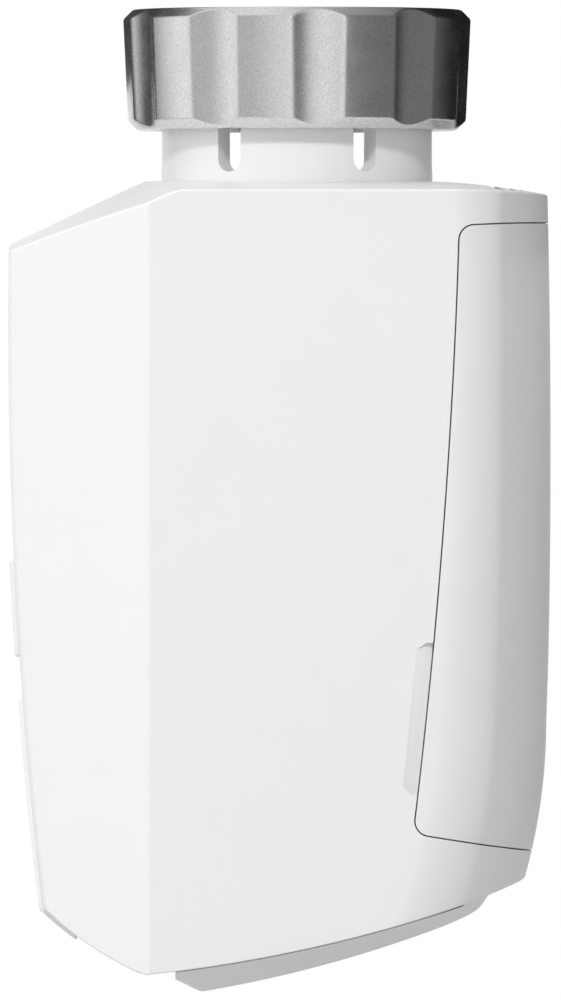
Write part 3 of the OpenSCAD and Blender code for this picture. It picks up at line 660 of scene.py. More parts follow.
@dataclass(frozen=True)
class SignedKey(Finish):
    """Key plastic with a plain printed sign on its front face."""

    name: str
    colour: Colour
    sign: KeySign
    centre: Pair
    ink: Colour = (0.16, 0.17, 0.18)
    roughness: float = 0.4
    patch: float = 6.0
    bar_half: Pair = (1.35, 0.2)
    ring: Pair = (1.15, 0.2)
    front: float = -29.2

    def bar(self, g: Graph, along: Socket, across: Socket, centre: Pair) -> Socket:
        """Gives 1 inside a bar about the centre, which is given along it and across it.

        Args:
            g: The material's tree.
            along: The place along the bar.
            across: The place across it.
            centre: The bar's middle, along and across.

        Returns:
            The share, 1 or 0.
        """
        spans = zip((along, across), centre, self.bar_half)
        inside = [g.within(value, mid * MM, half * MM) for value, mid, half in spans]
        return g.maths("MULTIPLY", *inside)

    def mark(self, g: Graph, y: Socket, z: Socket) -> Socket:
        """Gives 1 where Y and Z lie within the sign's bars or its ring.

        Args:
            g: The material's tree.
            y: The place across the key.
            z: The place up the key.

        Returns:
            The share, 1 or 0.
        """
        if self.sign is KeySign.RING:
            off = [g.maths("SUBTRACT", v, mid * MM) for v, mid in zip((y, z), self.centre)]
            out = g.maths("SQRT", g.maths("ADD", *[g.maths("MULTIPLY", v, v) for v in off]))
            return g.within(out, self.ring[0] * MM, self.ring[1] * MM)
        level = self.bar(g, y, z, self.centre)
        if self.sign is KeySign.MINUS:
            return level
        return g.maths("MAXIMUM", level, self.bar(g, z, y, self.centre[::-1]))

    def build(self) -> Material:
        """Prints the sign in ink on the front of the key.

        Returns:
            The material.
        """
        g = paint(self.name)
        axes = g.axes()
        front = g.maths("LESS_THAN", axes["X"], self.front * MM)
        inked = g.maths("MULTIPLY", self.mark(g, axes["Y"], axes["Z"]), front)
        plain = g.mottle(self.patch, self.colour, 0.985, 1.01)
        inputs = {"Factor": inked, 6: plain, 7: (*self.ink, 1.0)}
        mix = g.add("ShaderNodeMix", inputs, data_type="RGBA")
        return g.surface({"Base Color": mix.outputs[2], **g.satin(self.roughness)})


@dataclass(frozen=True)
class WorkedMetal(Finish):
    """Metal with a blasted, drawn or tumbled face."""

    name: str
    colour: Colour
    roughness: float
    grain: float = 0.2
    depth: float = 0.012
    strength: float = 0.5
    speckle: float = 0.12
    patch: float = 2.5

    def build(self) -> Material:
        """Speckles the colour and the bump with one fine noise, and the roughness in patches.

        Returns:
            The material.
        """
        g = paint(self.name)
        fine, rough = g.noise(self.grain, 3.0), self.roughness
        shares = (0.3, 1 - self.speckle), (0.7, 1 + self.speckle)
        stops = [(at, dimmed(self.colour, share)) for at, share in shares]
        return g.surface(
            {
                "Base Color": g.tint(fine, stops),
                "Metallic": 1.0,
                "Roughness": g.spread(g.noise(self.patch, 4.0), rough - 0.05, rough + 0.05),
                "Normal": g.bump(fine, self.depth, self.strength),
            }
        )


@dataclass(frozen=True)
class PrintedLens(Finish):
    """Clear plastic of the display lens with a white border printed on its back.

    The window is given as its lower edge, its upper edge and its half width.
    """

    name: str
    colour: Colour
    window: tuple[float, float, float]
    roughness: float = 0.14
    clear: float = 0.85
    patch: float = 9.0

    def build(self) -> Material:
        """Lets light through inside the window.

        Returns:
            The material.
        """
        g = paint(self.name)
        low, high, half = self.window
        axes = g.axes()
        tall = g.within(axes["Z"], (low + high) / 2 * MM, (high - low) / 2 * MM)
        inside = g.maths("MULTIPLY", tall, g.within(axes["Y"], 0.0, half * MM))
        rough = self.roughness
        return g.surface(
            {
                "Base Color": g.mottle(self.patch, self.colour, 0.99, 1.0),
                "Roughness": g.spread(g.noise(1.5), rough - 0.03, rough + 0.05),
                "Transmission Weight": g.maths("MULTIPLY", inside, self.clear),
                "IOR": 1.5,
                "Coat Weight": 0.3,
            }
        )


@dataclass(frozen=True)
class SegmentGlass(Finish):
    """Glass of the display, grey-green with a fine raster."""

    name: str
    colour: Colour
    raster: float = 500.0

    def build(self) -> Material:
        """Lays a fine raster of level lines on the glass.

        Returns:
            The material.
        """
        g = paint(self.name)
        inputs = {"Vector": g.place(), "Scale": self.raster}
        wave = g.add("ShaderNodeTexWave", inputs, bands_direction="Z").outputs["Fac"]
        lines = g.tint(wave, [(0.2, dimmed(self.colour, 0.9)), (0.8, self.colour)])
        return g.surface({"Base Color": lines, "Roughness": 0.1, "Coat Weight": 0.5})


@dataclass(frozen=True)
class BoardLaminate(Finish):
    """Green laminate with paler tracks under the mask."""

    name: str
    colour: Colour
    tracks: float = 420.0

    def build(self) -> Material:
        """Draws tracks as the cell borders of a square-stepped pattern.

        Returns:
            The material.
        """
        g = paint(self.name)
        inputs = {"Vector": g.place(), "Scale": self.tracks, "Randomness": 0.7}
        cells = g.add("ShaderNodeTexVoronoi", inputs, distance="CHEBYCHEV", feature="F2")
        away = cells.outputs["Distance"]
        shares = (0.0, 0.8), (0.55, 1.0), (0.62, 1.7)
        return g.surface(
            {
                "Base Color": g.tint(away, [(at, dimmed(self.colour, s)) for at, s in shares]),
                "Roughness": g.spread(g.noise(1.0), 0.3, 0.42),
                "Normal": g.bump(away, 0.03, 0.3),
            }
        )


@dataclass(frozen=True)
class CellSleeve(Finish):
    """Bare sleeve of a round cell: bands of grey and metal ends."""

    name: str
    low: float
    high: float
    steel: Colour = (0.6, 0.6, 0.6)
    dark: Colour = (0.035, 0.04, 0.05)
    pale: Colour = (0.42, 0.44, 0.46)

    def build(self) -> Material:
        """Colours the cell by its height: metal at both ends, two bands between.

        Returns:
            The material.
        """
        g = paint(self.name)
        inputs = {"Value": g.axes()["Z"], "From Min": self.low * MM, "From Max": self.high * MM}
        share = g.add("ShaderNodeMapRange", inputs).outputs["Result"]
        stops = [(0.0, self.steel), (0.02, self.dark), (0.7, self.pale), (0.95, self.steel)]
        return g.surface(
            {
                "Base Color": g.tint(share, stops, hard=True),
                "Metallic": 0.35,
                "Roughness": g.spread(g.noise(1.2), 0.26, 0.36),
                "Normal": g.bump(g.noise(3.0), 0.02, 0.2),
            }
        )


WHITE = MouldedPlastic("white_plastic", (0.84, 0.84, 0.84))
COVER_WHITE = MouldedPlastic("cover_plastic", (0.83, 0.83, 0.83))
NECK_WHITE = MouldedPlastic("neck_plastic", (0.84, 0.84, 0.84), roughness=0.34)
GREY = MouldedPlastic("grey_plastic", (0.3, 0.31, 0.32), roughness=0.5)
NATURAL = MouldedPlastic("natural_plastic", (0.72, 0.7, 0.64), roughness=0.38, depth=0.002)
BLACK = MouldedPlastic("black_plastic", (0.025, 0.025, 0.028), roughness=0.5, mottle=0.1)
GUIDE = MouldedPlastic("light_guide", (0.8, 0.81, 0.8), roughness=0.2)
NUT_METAL = WorkedMetal("nut_metal", (0.76, 0.76, 0.77), 0.27)
STEEL = WorkedMetal("steel", (0.58, 0.58, 0.58), 0.28, depth=0.004)
CONTACT = WorkedMetal("contact_metal", (0.72, 0.7, 0.66), 0.24, depth=0.003)
BRASS = WorkedMetal("pinion_brass", (0.72, 0.52, 0.24), 0.27, depth=0.003)
LENS = PrintedLens("lens_plastic", (0.85, 0.85, 0.85), (-84.5, -68.0, 9.5))
DISPLAY = SegmentGlass("lcd_glass", (0.46, 0.5, 0.47))
BOARD = BoardLaminate("board", (0.03, 0.16, 0.08))
CELL = CellSleeve("cell", -71.0, -20.0)


# The outer form of the head


@dataclass
class HeadForm:
    """The faces of the head and the round edges between them."""

    # Front and back: distance from the axis, radius in side view, height of the middle
    front: float = 30.0
    front_r: float = 500.0
    front_mid: float = -25.0
    back: float = 26.5
    back_r: float = 1100.0
    back_mid: float = -38.0
    # The lower back's arc, and how far it leans in above its middle
    low_back: Arc = (-34.93, -66.2, 61.0)
    low_lean: float = 0.04
    # Arcs of the lower end, of the toe in front of it and of the top's fall to the back
    end: Arc = (-31.552, 58.889, 152.0)
    toe: Arc = (-2.289, -60.049, 35.0)
    top_back: Arc = (10.0, -97.85, 88.0)
    back_crown: float = 800.0
    # The top's height and radius across, and the slope's place, radius across and lean
    crown: Pair = (-9.9, 300.0)
    slope: tuple[float, float, float, float] = (-16.35, -10.1, 140.0, 25.3)
    # Sides: half width, the arc's middle and radius in plan, the crease and the bevel's angle
    half: float = 27.0
    side: Pair = (4.0, 600.0)
    crease: Pair = (-15.4, 26.686)
    bevel: float = 40.0
    # Radii of the edges, the back's two at the top and low down
    front_edge: float = 0.5
    crease_edge: float = 0.15
    top_edge: float = 0.22
    low_edge: float = 0.16
    back_edge: Pair = (3.1, 3.7)
    # Radius of the bowed back in plan at the top and low down, and where it changes
    bow: Pair = (58.0, 50.0)
    taper: Pair = (-14.0, 66.0)
    # Widths over which arcs of one face run into each other
    back_blend: float = 0.15
    slope_blend: float = 0.35
    fall_blend: float = 0.2
    toe_blend: float = 0.2
    # Steps of the spans round half a section, and of the rows: pole, low edge, walls, top edge
    counts: tuple[int, ...] = (7, 6, 8, 6, 22, 22, 9)
    rows: tuple[int, int, int, int] = (12, 7, 46, 8)
    crowding: float = 1.35
    # Rays: their start under the faces, and their lengths, those of a fan as radii and more
    set_in: float = 0.6
    level_reach: float = 30.0
    upright_reach: float = 60.0
    fan_reach: Pair = (4.0, 3.0)
    # Heights from which the ends' rays start and the rims are sought, and the rounds of seeking
    middle: float = -50.0
    near_top: float = -12.0
    near_low: float = -88.0
    settle: int = 4
    # Least radii of the fans of rays at inner corners, and the inner crease's shift
    least_r: float = 0.3
    least_back_r: float = 0.5
    crease_shift: float = 0.35

    def between(self, ends: Pair, z: Array) -> Array:
        """Gives a size that goes from its first value at the top to its second low down."""
        start, length = self.taper
        return ends[0] + (ends[1] - ends[0]) * np.clip((start - z) / length, 0, 1)

    def front_x(self, z: Array, inset: float = 0.0) -> Array:
        """Gives X of the front face, an arc about a far centre behind it."""
        root = np.sqrt((self.front_r - inset) ** 2 - (z - self.front_mid) ** 2)
        return self.front_r - self.front - root

    def back_field(self, p: Array) -> Array:
        """Gives the distance to the back.

        In side view it is a long arc with a tighter one low down. In plan it is
        bowed: a point off the middle is moved back by the bow's fall, R less the
        root of (R squared less y squared), before the arcs are measured.

        Args:
            p: Points.

        Returns:
            The distance at each point, negative inside.
        """
        y, z = p[..., 1], p[..., 2]
        bow = self.between(self.bow, z)
        root = np.sqrt(np.maximum(bow**2 - y**2, 1.0))
        x = p[..., 0] + bow - root
        main = np.hypot(x - self.back + self.back_r, z - self.back_mid) - self.back_r
        cx, cz, r = self.low_back
        above = x - cx - r - self.low_lean * (z - cz)
        low = np.where(z < cz, np.hypot(x - cx, z - cz) - r, above)
        return soft_max(main, low, self.back_blend) * root / bow

    def side_field(self, p: Array) -> Array:
        """Gives the distance to the nearer side: an arc in plan, with a flat bevel in front.

        Args:
            p: Points.

        Returns:
            The level at each point, negative inside.
        """
        x, y = p[..., 0], np.abs(p[..., 1])
        cx, r = self.side
        arc = np.hypot(x - cx, y - self.half + r) - r
        lean = math.radians(self.bevel)
        flat = (y - self.crease[1] - (x - self.crease[0]) * math.tan(lean)) * math.cos(lean)
        return rounded(arc, flat, self.crease_edge)

    def wall_field(self, p: Array) -> Array:
        """Gives the level of the walls: sides, front and back with round corners.

        Args:
            p: Points.

        Returns:
            The level at each point, negative inside.
        """
        x, z = p[..., 0], p[..., 2]
        front = np.hypot(x - self.front_r + self.front, z - self.front_mid) - self.front_r
        walls = rounded(self.side_field(p), front, self.front_edge)
        return rounded(walls, self.back_field(p), self.between(self.back_edge, z))

    def top_field(self, p: Array) -> Array:
        """Gives the level of the top: crown, crowned slope in front, crowned fall at the back.

        Args:
            p: Points.

        Returns:
            The level at each point, negative inside.
        """
        x, y, z = p[..., 0], p[..., 1], p[..., 2]
        level, r = self.crown
        crown = np.hypot(y, z - level + r) - r
        sx, sz, sr, lean = self.slope
        a = math.radians(lean)
        over = (z - sz) * math.cos(a) - (x - sx) * math.sin(a)
        slope = np.hypot(y, over + sr) - sr
        bx, bz, br = self.top_back
        fall = np.hypot(np.maximum(x - bx, 0), z - bz + y**2 / self.back_crown) - br
        return soft_max(soft_max(crown, slope, self.slope_blend), fall, self.fall_blend)

    def low_field(self, p: Array) -> Array:
        """Gives the level of the lower end: one long arc, and the toe's arc in front.

        Args:
            p: Points.

        Returns:
            The level at each point, negative inside.
        """
        x, z = p[..., 0], p[..., 2]
        ex, ez, er = self.end
        tx, tz, tr = self.toe
        end = np.hypot(x - ex, z - ez) - er
        toe = np.hypot(np.minimum(x - tx, 0), np.minimum(z - tz, 0)) - tr
        return soft_max(end, toe, self.toe_blend)

    def level(self, p: Array) -> Array:
        """Gives the level of the whole form, negative inside."""
        above = rounded(self.wall_field(p), self.top_field(p), self.top_edge)
        return rounded(above, self.low_field(p), self.low_edge)

    def half_count(self) -> int:
        """Gives the number of steps round half a section."""
        return sum(self.counts)

    def stations(self, z: Array, inset: float) -> tuple[Array, Array]:
        """Gives where the rays of a section start and where they point.

        Round the half section from the middle of the front to the middle of the
        back, each flat face has rays along its normal, and each corner a fan of
        rays from a point set in from both faces. The other half is its mirror.

        Args:
            z: Heights, one for each station of the full section in the last axis.
            inset: How deep the section lies under the surface.

        Returns:
            Starts and directions in X, Y and Z, on the same grid as z.
        """
        half = self.half_count()
        heights = z[..., : half + 1]
        flat = np.zeros_like(heights)
        lean = math.radians(self.bevel)
        crease_x, crease_y = self.crease
        side_x, side_r = self.side
        bow = self.between(self.bow, heights)
        front = self.front_x(heights, inset)
        on_axis = np.stack([flat, flat, heights], axis=-1)
        back = crossing(lambda q: self.back_field(q) + inset, on_axis, TO_BACK, THROUGH)[..., 0]

        def bevel_y(x: Array) -> Array:
            """Gives Y of the bevel face."""
            return crease_y + (x - crease_x) * math.tan(lean) - inset / math.cos(lean)

        def side_y(x: Array) -> Array:
            """Gives Y of the side face."""
            return self.half - side_r + np.sqrt((side_r - inset) ** 2 - (x - side_x) ** 2)

        def bow_x(y: Array) -> Array:
            """Gives X of the bowed back."""
            return back - bow + np.sqrt(bow**2 - y**2)

        edge_y = flat + self.half - inset
        for _ in range(self.settle):
            edge_x = bow_x(edge_y)
            edge_y = side_y(edge_x)
        normals = [
            (flat - 1, flat),
            (flat - math.sin(lean), flat + math.cos(lean)),
            ((crease_x - side_x) / side_r + flat, flat + 1),
            ((edge_x - side_x) / side_r, flat + 1),
            (np.sqrt(1 - (edge_y / bow) ** 2), edge_y / bow),
            (flat + 1, flat),
        ]
        inner_x = crease_x + self.crease_shift * inset
        inner_y = np.minimum(bevel_y(inner_x), side_y(inner_x))
        front_r = max(self.front_edge - inset, self.least_r)
        crease_r = max(self.crease_edge - inset, self.least_r)
        back_r = np.maximum(self.between(self.back_edge, heights) - inset, self.least_back_r)
        corners = [
            (front, bevel_y(front), flat + front_r, 0, 1),
            (inner_x + flat, inner_y + flat, flat + crease_r, 1, 2),
            (edge_x, edge_y, back_r, 3, 4),
        ]
        starts, ends, hubs = [], [], []
        for x, y, r, i, j in corners:
            (ax, ay), (bx, by) = normals[i], normals[j]
            r = r / (1 - ax * bx - ay * by)
            scale = r / (1 + ax * bx + ay * by)
            hx, hy = x - scale * (ax + bx), y - scale * (ay + by)
            hubs.append((hx, hy))
            starts.append((hx + r * ax, hy + r * ay))
            ends.append((hx + r * bx, hy + r * by))
        spans = [
            ((front, flat), starts[0], 0, 0),
            (hubs[0], hubs[0], 0, 1),
            (ends[0], starts[1], 1, 1),
            (hubs[1], hubs[1], 1, 2),
            (ends[1], starts[2], 2, 3),
            (hubs[2], hubs[2], 3, 4),
            (ends[2], (back, flat), 4, 5),
        ]
        position, direction = np.zeros((2, *heights.shape, 3))
        position[..., 2] = heights
        at = 0
        for (a, b, i, j), count in zip(spans, self.counts):
            # The last span takes in its end
            steps = count + int(at + count == half)
            take = slice(at, at + steps)
            t = np.linspace(0, 1, count + 1)[:steps]
            for axis in (0, 1):
                for out, p, q in ((position, a, b), (direction, normals[i], normals[j])):
                    out[..., take, axis] = p[axis][..., take] * (1 - t) + q[axis][..., take] * t
            at += count
        last = slice(half - self.counts[-1], half + 1)
        position[..., last, 0] = bow_x(position[..., 1])[..., last]
        direction /= np.linalg.norm(direction, axis=-1, keepdims=True)
        position[..., :2] -= direction[..., :2] * self.set_in
        mirror = np.array([1.0, -1.0, 1.0])
        others = [(rays * mirror)[..., half - 1 : 0 : -1, :] for rays in (position, direction)]
        return (
            np.concatenate([position, others[0]], axis=-2),
            np.concatenate([direction, others[1]], axis=-2),
        )

    def skin(self, inset: float, neck: float) -> Array:
        """Works out the grid of points that lies inset under the head's faces.

        Its rows run from a pole on the lower end over the lower edge, up the
        walls, over the top edge and to a round hole in the top. Wall points lie
        where level rays leave the form, edge points where fans of rays leave
        it, and the points of the ends where upright rays leave it.

        Args:
            inset: Depth under the faces.
            neck: Radius of the hole in the top.

        Returns:
            Array of rows by columns by 3, whose last column meets its first.
        """
        in_plan = np.array([1, 1, 0])

        def level(p: Array) -> Array:
            """Gives the level of the inset form."""
            return self.level(p) + inset

        def wall(p: Array) -> Array:
            """Gives the level of the inset walls."""
            return self.wall_field(p) + inset

        def rim(face: Field, way: Array, start: float) -> tuple[Array, Array, Array]:
            """Finds the sharp edge of the walls and an end face, and both normals there.

            Args:
                face: The end face's field.
                way: Direction in which the end lies.
                start: A height near the edge.

            Returns:
                The edge's points, and the walls' and the end's normals.
            """
            z = np.full(2 * self.half_count(), start)
            for _ in range(self.settle):
                edge = crossing(wall, *self.stations(z, inset), self.level_reach)
                base = edge * in_plan + self.middle * UP
                z = crossing(lambda q: face(q) + inset, base, way, self.upright_reach)[:, 2]
            edge[:, 2] = z
            return edge, slope_of(self.wall_field, edge), slope_of(face, edge)

        def fan(edge: Array, side: Array, face: Array, r: float, steps: int) -> Array:
            """Rounds an edge: rays from a hub set in from both faces leave the form.

            Args:
                edge: Points of the sharp edge.
                side: The walls' normals there.
                face: The end's normals there.
                r: How far the hub is set in.
                steps: How many rows of points.

            Returns:
                Rows of points over the edge.
            """
            meet = np.sum(side * face, axis=-1, keepdims=True)
            hub = edge - r * (side + face) / (1 - meet * meet)
            t = np.linspace(0, 1, steps)[:, None, None]
            way = side * (1 - t) + face * t
            way /= np.linalg.norm(way, axis=-1, keepdims=True)
            reach = self.fan_reach[0] * r + self.fan_reach[1]
            return crossing(level, np.broadcast_to(hub, way.shape), way, reach)

        def cap(edge: Array, way: Array, hole: float) -> Array:
            """Closes an end: points on lines from its edge to a round hole, on the form.

            Args:
                edge: Points of the end's edge.
                way: Direction in which the end lies.
                hole: The hole's radius, 0 for a pole.

            Returns:
                Rows of points from the edge in.
            """
            t = (np.linspace(0, 1, poles + 1)[1:] ** self.crowding)[:, None, None]
            flat = edge * in_plan
            aim = hole * flat / np.linalg.norm(flat, axis=-1, keepdims=True)
            base = flat * (1 - t) + aim * t + self.middle * UP
            return crossing(level, base, way, self.upright_reach)

        poles, low_steps, wall_steps, top_steps = self.rows
        top_r = max(self.top_edge - inset / 2, self.least_r)
        top = fan(*rim(self.top_field, UP, self.near_top), top_r, top_steps)
        low = fan(*rim(self.low_field, -UP, self.near_low), self.low_edge, low_steps)
        t = np.linspace(0, 1, wall_steps + 2)[1:-1, None]
        z = low[0, :, 2] * (1 - t) + top[0, :, 2] * t
        walls = crossing(level, *self.stations(z, inset), self.level_reach)
        under, over = cap(low[-1], -UP, 0.0), cap(top[-1], UP, neck)
        return np.concatenate([under[::-1], low[::-1], walls, top, over])

    def shell(self, wall: float, inset: float = 0.0) -> Surface:
        """Joins the outer skin and the inner one round the neck's hole.

        Args:
            wall: Depth of the inner skin.
            inset: Depth of the outer skin.

        Returns:
            The closed surface of the hollow head.
        """
        outer, inner = self.skin(inset, NECK_HOLE), self.skin(wall, NECK_HOLE)
        lip = np.stack([outer[-1], inner[-1]])
        return join([grid(points, closed_columns=True) for points in (outer, inner, lip)])


FORM = HeadForm()


# The pieces


@dataclass
class CoverLine:
    """The battery cover's outline in side view."""

    bow: Arc = (-666.95, 5.35, 684.0)
    corner: float = 1.6
    top_turn: float = -16.35
    low_turn: float = -76.35
    rise: float = 3.1
    fall: float = 9.3
    gap: float = 0.15
    run: float = 30.0
    corner_steps: int = 13
    edge_steps: int = 34

    def edge_x(self, z: float | Array) -> Array:
        """Gives X of the front edge, an arc that bows to the front."""
        cx, cz, r = self.bow
        return cx + np.sqrt(r**2 - (z - cz) ** 2)

    def lean(self, z: float) -> float:
        """Gives the edge's lean at a height."""
        return math.degrees(math.asin((z - self.bow[1]) / self.bow[2]))

    def outline(self, grow: float) -> Array:
        """Gives the outline: two round corners, the bowed edge between, straight runs to the back.

        Args:
            grow: How far the outline is moved out.

        Returns:
            Array of (x, z) points.
        """
        r = self.corner + grow

        def turn(z: float, start: float, end: float) -> Array:
            """Gives a corner's arc about its centre."""
            a = np.radians(np.linspace(start, end, self.corner_steps))[:, None]
            return [self.edge_x(z) + self.corner, z] + r * np.hstack([np.cos(a), np.sin(a)])

        top = turn(self.top_turn, 90 + self.rise, 180 + self.lean(self.top_turn))
        low = turn(self.low_turn, 180 + self.lean(self.low_turn), 270 - self.fall)
        z = np.linspace(self.top_turn, self.low_turn, self.edge_steps)[1:-1]
        edge = np.column_stack([self.edge_x(z) - grow, z])
        first = top[0] + [self.run, self.run * math.tan(math.radians(self.rise))]
        last = low[-1] + [self.run, -self.run * math.tan(math.radians(self.fall))]
        return np.vstack([first, top, edge, low, last])

    def tool(self, grow: float) -> Surface:
        """Carries the outline right through the head."""
        return prism(self.outline(grow), -THROUGH, THROUGH)


COVER_LINE = CoverLine()


@dataclass
class DisplayLens:
    """The raised lens that wraps round the lower front edge."""

    top: float = -63.8
    toe_x: float = -22.9
    proud: float = 0.5
    seat: float = 1.0
    half: float = 12.505
    side_gap: float = 0.05
    lap: float = 0.02
    clear: float = 3.0
    edge: float = 0.3
    sharp: float = 25.0
    front_steps: int = 30
    toe_steps: int = 14
    search: Pair = (-95.0, -70.0)
    halvings: int = 50

    def path(self, inset: float) -> Array:
        """Follows the front face down and the toe back, inset under them.

        The front's arc runs from the lens's top to where it meets the toe's arc,
        found by halving, and the toe's arc from there to the lens's end.

        Args:
            inset: Depth under the faces, negative outside.

        Returns:
            Array of (x, z) points.
        """
        tx, tz, tr = FORM.toe
        r = tr - inset
        low, high = self.search
        for _ in range(self.halvings):
            mid = (low + high) / 2
            out = math.hypot(float(FORM.front_x(mid, inset)) - tx, mid - tz) > r
            low, high = (mid, high) if out else (low, mid)
        z = np.linspace(self.top, (low + high) / 2, self.front_steps)
        front = np.column_stack([FORM.front_x(z, inset), z])
        x = np.linspace(front[-1, 0], self.toe_x, self.toe_steps)[1:]
        toe = np.column_stack([x, tz - np.sqrt(r**2 - (x - tx) ** 2)])
        return np.vstack([front, toe])

    def seat_tool(self) -> Surface:
        """Gives the tool for the recess that the lens lies in.

        Returns:
            The closed tool.
        """
        outer, inner = self.path(-self.clear), self.path(self.seat)
        grow = np.zeros_like(inner)
        grow[0, 1] = grow[-1, 0] = self.side_gap
        half = self.half + self.side_gap
        return prism(np.vstack([outer + grow, (inner + grow)[::-1]]), -half, half)

    def build(self) -> None:
        """Carries a flat section along the path and rounds its edges."""
        outer, inner = self.path(-self.proud), self.path(self.seat - self.lap)
        section = np.vstack([outer, inner[::-1]])
        lens = make_object("display_lens_panel", prism(section, -self.half, self.half))
        add_bevel(lens, self.edge)
        shade(lens, self.sharp)
        place(lens, LENS, "body", ["display_lens"])


LENS_PIECE = DisplayLens()


@dataclass
class KeyRow:
    """The three keys above the lens."""

    pitch: float = 9.003
    wide: float = 8.003
    low: float = -59.5
    high: float = -49.3
    proud: float = 0.5
    back: float = -26.2
    gap: float = 0.2
    hole_back: float = -26.0
    edge: float = 0.35
    sharp: float = 25.0
    face_steps: int = 13
    signs: tuple[tuple[str, KeySign], ...] = (
        ("minus", KeySign.MINUS),
        ("mode", KeySign.RING),
        ("plus", KeySign.PLUS),
    )

    def middles(self) -> list[float]:
        """Gives Y of the keys' middles."""
        return [i * self.pitch for i in (-1, 0, 1)]

    def holes(self) -> list[Surface]:
        """Gives the tools for the keys' openings, with a gap all round.

        Returns:
            A block for each key.
        """
        half = self.wide / 2 + self.gap
        low, high = self.low - self.gap, self.high + self.gap
        return [
            block((-THROUGH, mid - half, low), (self.hole_back, mid + half, high))
            for mid in self.middles()
        ]

    def build(self) -> None:
        """Carries the front's arc across each key's width and rounds the key's edges."""
        z = np.linspace(self.high, self.low, self.face_steps)
        face = np.column_stack([FORM.front_x(z, -self.proud), z])
        section = np.vstack([face, [[self.back, self.low], [self.back, self.high]]])
        half, middle_z = self.wide / 2, (self.low + self.high) / 2
        for mid, (name, sign) in zip(self.middles(), self.signs):
            key = make_object(f"key_{name}_cap", prism(section, mid - half, mid + half))
            add_bevel(key, self.edge)
            shade(key, self.sharp)
            finish = SignedKey(f"key_{name}_plastic", WHITE.colour, sign, (mid, middle_z))
            place(key, finish, f"{name}_key", [f"key_{name}"])


KEYS = KeyRow()


@dataclass
class Housing:
    """The white main housing with its openings."""

    wall: float = 2.0
    # The finger notch: its top, length, width and depth, and how its corners are cut
    notch: tuple[float, float, float, float] = (-57.8, 15.8, 1.7, 0.85)
    notch_low: Pair = (0.8, 0.7)
    notch_top: Pair = (0.85, 0.75)
    notch_rise: float = 0.1
    # The ledge under the cover's edge: its depth, thickness and reach to both sides of the gap
    rest: tuple[float, float, float] = (1.72, 0.8, 0.8)
    # Vents: place, width and half length, with the heights and the bow that all share
    vents: tuple[tuple[float, float, float], ...] = (
        (20.1, 1.0, 19.5),
        (21.75, 0.7, 17.5),
        (22.85, 0.7, 15.0),
    )
    vent_z: Pair = (-15.0, -5.0)
    vent_bow: float = 0.0028
    vent_steps: int = 15

    def notch_tool(self) -> Surface:
        """Gives the finger notches' tool.

        It is a plate with cut corners that stands askew in the side along the
        cover's edge, and its mirror image.

        Returns:
            Both plates.
        """
        top, long, wide, deep = self.notch
        h = long / 2
        mid = top - h
        (low_x, low_z), (top_x, top_z) = self.notch_low, self.notch_top
        lower = [[0, low_z - h], [low_x, -h], [2 * wide, -h]]
        upper = [[2 * wide, h + self.notch_rise], [top_x, h], [0, h - top_z]]
        tool = prism(np.array(lower + upper), 0, 2 * wide)
        points = turned(tool.points, -math.degrees(math.atan(deep / wide)), 2)
        points = turned(points, -COVER_LINE.lean(mid), 1)
        x = float(COVER_LINE.edge_x(mid))
        cx, r = FORM.side
        points = points + [x - wide, FORM.half - r + math.sqrt(r**2 - (x - cx) ** 2), mid]
        return join([Surface(points * [1, side, 1], tool.faces) for side in (1, -1)])

    def vent_tool(self, x: float, wide: float, half: float) -> Surface:
        """Gives a vent's tool: an upright strip whose ends bend to the back.

        Args:
            x: Its place in the middle.
            wide: Its width.
            half: Half its length.

        Returns:
            The strip, which stands through the top.
        """
        y = np.linspace(-half, half, self.vent_steps)
        middle = x + self.vent_bow * y**2
        front, back = (np.column_stack([middle + s * wide / 2, y]) for s in (-1, 1))
        strip = prism(np.vstack([front, back[::-1]]), *self.vent_z)
        return Surface(strip.points[:, [0, 2, 1]], strip.faces).flipped()

    def ledge(self) -> None:
        """Builds the ledge behind the gap, which the cover's edge rests over."""
        depth, thick, reach = self.rest
        ledge = make_object("cover_ledge", FORM.shell(depth + thick, depth))
        work_on(ledge, COVER_LINE.tool(reach), Cut.KEEP)
        work_on(ledge, COVER_LINE.tool(-reach), Cut.AWAY)
        shade_by_field(ledge, FORM.level, (depth, depth + thick))
        place(ledge, WHITE, "body")

    def build(self) -> None:
        """Builds the shell, cuts its openings and dresses it."""
        shell = make_object("housing_shell", FORM.shell(self.wall))
        holes = join(KEYS.holes() + [self.vent_tool(*vent) for vent in self.vents])
        cover = COVER_LINE.tool(COVER_LINE.gap / 2)
        for tool in (self.notch_tool(), cover, LENS_PIECE.seat_tool(), holes):
            work_on(shell, tool, Cut.AWAY)
        shade_by_field(shell, FORM.level, (0.0, self.wall))
        place(shell, WHITE, "body", ["main_housing"])
        self.ledge()


@dataclass
class BatteryCover:
    """The cover that wraps round the back."""

    wall: float = 1.6

    def build(self) -> None:
        """Keeps the part of the head's skin inside the cover's outline."""
        shell = make_object("battery_cover_shell", FORM.shell(self.wall))
        work_on(shell, COVER_LINE.tool(-COVER_LINE.gap / 2), Cut.KEEP)
        shade_by_field(shell, FORM.level, (0.0, self.wall))
        place(shell, COVER_WHITE, "cover", ["battery_cover"])


